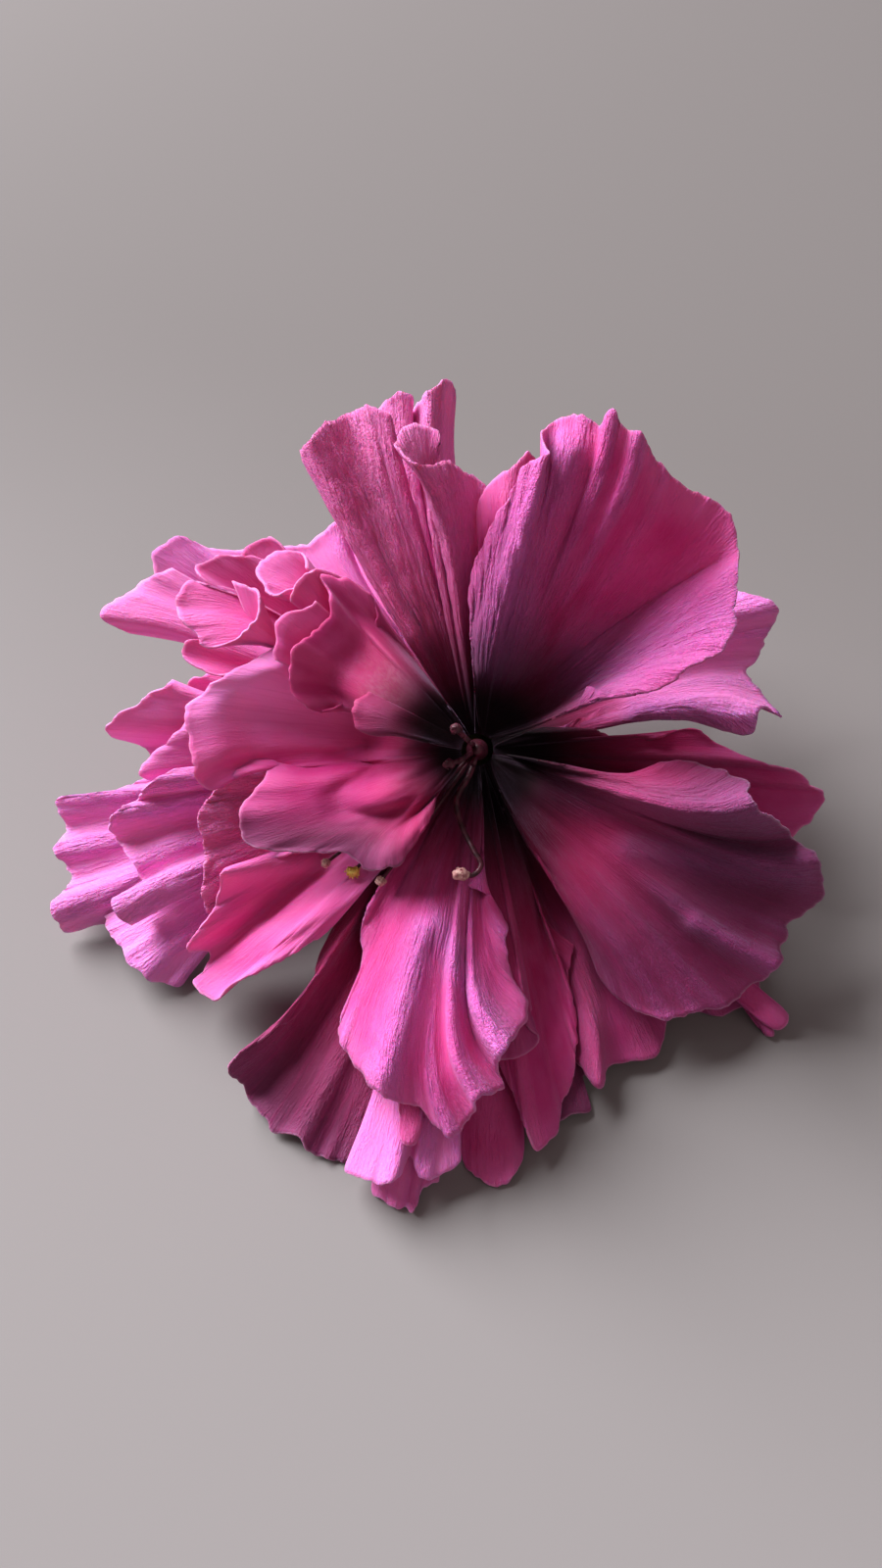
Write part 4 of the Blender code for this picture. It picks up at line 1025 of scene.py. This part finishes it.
def plain_tissue(name):
    """A mottled tissue whose colour follows noise in space, for the stamens and the green parts."""
    dark, light, scale, roughness, bump = TISSUES[name]
    m = Nodes(name)
    place = m.make("TexCoord").outputs["Object"]
    patches = m.remap(m.noise(place, scale, 4.0), *PATCH_RANGE)
    m.bump(m.noise(place, scale * RELIEF_FINENESS, 3.0), bump * MM, 0.7)
    m.feed(m.shader, {
        "Base Color": m.blend(patches, dark, light),
        "Roughness": m.remap(patches, 0.0, 1.0, roughness + GLOSS_SPREAD, roughness - GLOSS_SPREAD),
        "Specular IOR Level": 0.4,
        "Subsurface Weight": 0.12,
        "Subsurface Radius": (0.8, 0.6, 0.3),
        "Subsurface Scale": 0.8 * MM,
    })
    return m.material


def floor_material():
    """A pale table with painted light, lighter towards the viewer and the left."""
    m = Nodes("pale_table")
    place = m.make("TexCoord").outputs["Object"]
    apart = m.make("SeparateXYZ", {0: place}).outputs
    down_left = m.maths("SUBTRACT", m.times(apart["X"], FLOOR_SLANT), apart["Y"])
    patches = m.times(m.noise(place, *FLOOR_PATCHES), FLOOR_UNEVENNESS)
    painted_light_share = m.remap(m.maths("ADD", down_left, patches), -FLOOR_GRADE, FLOOR_GRADE)
    colour = m.blend(painted_light_share, FLOOR_COLOUR, FLOOR_PAINTED_LIGHT)
    m.feed(m.shader, {"Base Color": colour, "Roughness": 0.85, "Specular IOR Level": 0.1})
    return m.material


def add_floor():
    """The table that the bloom lies on."""
    bpy.ops.mesh.primitive_plane_add(size=FLOOR_SIZE)
    floor = bpy.context.object
    floor.name = "floor"
    floor.data.materials.append(floor_material())


def add_camera(throat):
    """The photo's eye, square onto the bloom's face plane, with the throat at its place in the photo."""
    axes = face_axes()
    data = bpy.data.cameras.new("camera")
    camera = placed("camera", data)
    data.sensor_width = LONG_SIDE_MM
    data.lens = LONG_SIDE_MM * FOCAL_PIXELS / PHOTO_HEIGHT
    data.shift_x = (PHOTO_WIDTH / 2 - THROAT_PIXEL[0]) / PHOTO_HEIGHT
    data.shift_y = (THROAT_PIXEL[1] - PHOTO_HEIGHT / 2) / PHOTO_HEIGHT
    data.clip_start = 0.01
    turn = Matrix([list(axis) for axis in axes]).transposed().to_4x4()
    camera.matrix_world = Matrix.Translation(Vector(throat + axes[2] * EYE * MM)) @ turn
    bpy.context.scene.camera = camera


def add_light(name, place, size, power, colour):
    """A round soft lamp that shines at the bloom's base."""
    data = bpy.data.lights.new(name, "AREA")
    data.shape = "DISK"
    data.size = size
    data.energy = power
    data.color = colour
    light = placed(name, data)
    light.location = place
    light.rotation_euler = (-Vector(place)).to_track_quat("-Z", "Y").to_euler()


def add_light_and_air():
    """The lamps, and the weak light that comes from all round."""
    world = bpy.data.worlds.new("air")
    world.use_nodes = True
    background = world.node_tree.nodes["Background"]
    background.inputs["Color"].default_value = AIR_COLOUR
    background.inputs["Strength"].default_value = AIR_STRENGTH
    bpy.context.scene.world = world
    bpy.context.scene.view_settings.view_transform = "Standard"
    for light in LIGHTS:
        add_light(*light)


def laid_bloom():
    """The petals' points and the filaments' paths, laid in the same order as in the part."""
    relief = Relief()
    grids = {}
    filaments = []
    for name in [*PETALS, "in_front"]:
        for points, radius, anther in FILAMENTS.get(name, []):
            filaments.append((lay_filament(points, radius, relief), radius, anther))
        if name in PETALS:
            grids[name] = petal_grid(USUAL | PETALS[name])
            lay(grids[name], relief)
    return grids, filaments


def petals(grids, shift):
    """Draws the laid petals again, each with a fine surface that is settled on those behind it."""
    finish = petal_material()
    relief = Relief()
    for count, (name, grid) in enumerate(grids.items()):
        petal = USUAL | PETALS[name]
        seed = SEED_STEP * count
        surface, facts = fine_surface(grid, CRESTS.get(name, []), seed)
        settle(surface, relief)
        world = crinkled(to_world(surface) / MM, facts, petal["crinkle"], seed) * MM + shift
        world[..., 2] = np.maximum(world[..., 2], FINE_THICKNESS / 2 * MM)
        radius = np.hypot(surface[..., 0], surface[..., 1])
        values = {key: facts[key] for key in ("arc", "rib", "edge", "crest", "wrinkle")}
        # How far from the throat, divided by the reach, so that the throat's dark with its painted shade
        # reaches further where the reach is larger.
        values["depth"] = radius / petal["reach"]
        values["petal"] = np.full(radius.shape, PATTERN_STEP * count)
        values["lilac_highlight"] = np.full(radius.shape, float(petal["lilac_highlight"]))
        # Painted light and shade for each petal; on some it changes with height.
        middle, lean = petal["lean"]
        values["tone_and_painted_light"] = np.clip(petal["tone_and_painted_light"] + lean * (surface[..., 1] - middle), -1.0, 1.0)
        mesh = grid_mesh("petal_" + name, world, values)
        thicken(show(mesh, "fine_" + name, "petal_" + name, [finish]), FINE_THICKNESS)


def add_anther(whole, middle, size, finish, count):
    """A lumpy bead with grains of pollen round it, added to the mesh of the stamens."""
    bead = bmesh.ops.create_icosphere(whole, subdivisions=3, radius=size * MM)["verts"]
    for vertex in bead:
        across = vertex.co.x / MM * ANTHER_LUMPS
        up = vertex.co.y / MM * ANTHER_LUMPS + vertex.co.z / MM
        vertex.co = vertex.co * (1 + ANTHER_UNEVENNESS * float(noise(across, up, count)))
        vertex.co.x *= ANTHER_STRETCH
    bmesh.ops.translate(whole, verts=bead, vec=middle)
    faces = {face for vertex in bead for face in vertex.link_faces}
    for grain in range(GRAINS):
        turn = 2 * math.pi * scatter(grain, count, GRAIN_SEED)
        tilt = math.acos(2 * scatter(grain, count, GRAIN_SEED + 1) - 1)
        aim = Vector((math.sin(tilt) * math.cos(turn), math.sin(tilt) * math.sin(turn), math.cos(tilt)))
        speck = bmesh.ops.create_icosphere(whole, subdivisions=1, radius=GRAIN_RADIUS * MM)["verts"]
        reach = size * (1.0 + GRAIN_SPREADS[finish] * scatter(grain, count, GRAIN_SEED + 2))
        bmesh.ops.translate(whole, verts=speck, vec=middle + aim * reach * MM)
        faces |= {face for vertex in speck for face in vertex.link_faces}
    for face in faces:
        face.material_index = finish


def stamens(filaments, shift):
    """The column, its filaments and its anthers with their pollen, drawn as one piece."""
    column_path = np.array([to_world((0.0, 0.0, out)) for _, out in COLUMN])
    rods = [rod("column", column_path, [radius for radius, _ in COLUMN], COLUMN_SIDES)]
    for path, radius, _ in filaments:
        smooth = through(path, 2)
        wave = noise(np.arange(len(smooth)) / FILAMENT_WAVE, 0.0, len(rods))
        tapered = np.linspace(radius, FILAMENT_TAPER * radius, len(smooth))
        radii = tapered * (1 + FILAMENT_UNEVENNESS * wave)
        rods.append(rod(f"filament_{len(rods)}", to_world(smooth), radii, FILAMENT_SIDES))
    mesh = bpy.data.meshes.new("stamens")
    whole = bmesh.new()
    for part in rods:
        whole.from_mesh(part)
    for count, (path, _, anther) in enumerate(filaments):
        add_anther(whole, Vector(to_world(path[-1])), anther, ANTHER_FINISHES[count], count)
    whole.to_mesh(mesh)
    whole.free()
    mesh.transform(Matrix.Translation(Vector(shift)))
    mesh.shade_smooth()
    finishes = [plain_tissue(name) for name in ("stamen_tissue", "pale_pollen", "yellow_pollen")]
    show(mesh, "fine_stamens", "staminal_column", finishes)


def add_hairs(mesh, count, seed):
    """Gives the mesh short hairs on the side that faces away from the petals."""
    away = Vector(face_axes()[2])
    hairy_faces = [
        face for face in mesh.polygons
        if face.normal.dot(away) < HAIRY_SIDE and face.center.z > HAIRS_ABOVE * MM
    ]
    hairy = bmesh.new()
    hairy.from_mesh(mesh)
    for hair in range(count):
        face = hairy_faces[int(scatter(hair, 1, seed) * (len(hairy_faces) - 1))]
        side = face.normal.orthogonal().normalized()
        over = face.normal.cross(side)
        turn = 2 * math.pi * scatter(hair, 2, seed)
        aim = face.normal + HAIR_LEAN * (side * math.cos(turn) + over * math.sin(turn))
        root = face.center - face.normal * HAIR_RADIUS * MM
        tip = root + aim * HAIR_LENGTH * MM * (HAIR_SHORTEST + HAIR_VARIES * scatter(hair, 3, seed))
        tip.z = max(tip.z, HAIR_LOWEST * MM)
        tip = hairy.verts.new(tip)
        foot = []
        for corner in range(3):
            angle = 2 * math.pi * corner / 3
            spoke = side * math.cos(angle) + over * math.sin(angle)
            foot.append(hairy.verts.new(root + spoke * HAIR_RADIUS * MM))
        hairy.faces.new(foot[::-1])
        for first, second in zip(foot, foot[1:] + foot[:1]):
            hairy.faces.new((first, second, tip))
    hairy.to_mesh(mesh)
    hairy.free()


def green_parts(shift):
    """The calyx, the epicalyx and the pedicel, smoothed and with short hairs."""
    finish = plain_tissue("sepal_tissue")
    path = through(PEDICEL, PEDICEL_SPANS)
    stalk = rod("fine_pedicel", path[:, :3] * MM, path[:, 3], COLUMN_SIDES)
    for vertex in stalk.vertices:
        vertex.co.z = max(vertex.co.z, 0.0)
    meshes = {
        "calyx": star_cup("fine_calyx", CALYX, CALYX_WHOLE_ROWS, SEPALS),
        "epicalyx": star_cup("fine_epicalyx", EPICALYX, EPICALYX_WHOLE_ROWS, BRACTS),
        "pedicel": stalk,
    }
    for count, (node, mesh) in enumerate(meshes.items()):
        add_hairs(mesh, HAIRS[node], HAIR_SEED + count)
        mesh.transform(Matrix.Translation(Vector(shift)))
        mesh.shade_smooth()
        show(mesh, "fine_" + node, node, [finish])


def frame_shift(grids):
    """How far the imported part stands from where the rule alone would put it, in metres."""
    apart = []
    for name, grid in grids.items():
        world = to_world(grid).reshape(-1, 3)
        low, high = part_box("petal_" + name)
        apart.append((np.array(low) + np.array(high) - world.min(axis=0) - world.max(axis=0)) / 2)
    return np.median(apart, axis=0)


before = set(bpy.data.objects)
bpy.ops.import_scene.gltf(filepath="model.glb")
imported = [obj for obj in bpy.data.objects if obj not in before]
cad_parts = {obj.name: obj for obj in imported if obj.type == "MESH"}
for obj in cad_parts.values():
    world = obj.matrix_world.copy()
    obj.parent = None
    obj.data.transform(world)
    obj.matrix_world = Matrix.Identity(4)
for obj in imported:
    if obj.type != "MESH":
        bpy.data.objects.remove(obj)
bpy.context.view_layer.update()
grids, filaments = laid_bloom()
shift = frame_shift(grids)
petals(grids, shift)
stamens(filaments, shift)
green_parts(shift)
add_floor()
add_camera(np.array(THROAT) * MM + shift)
add_light_and_air()
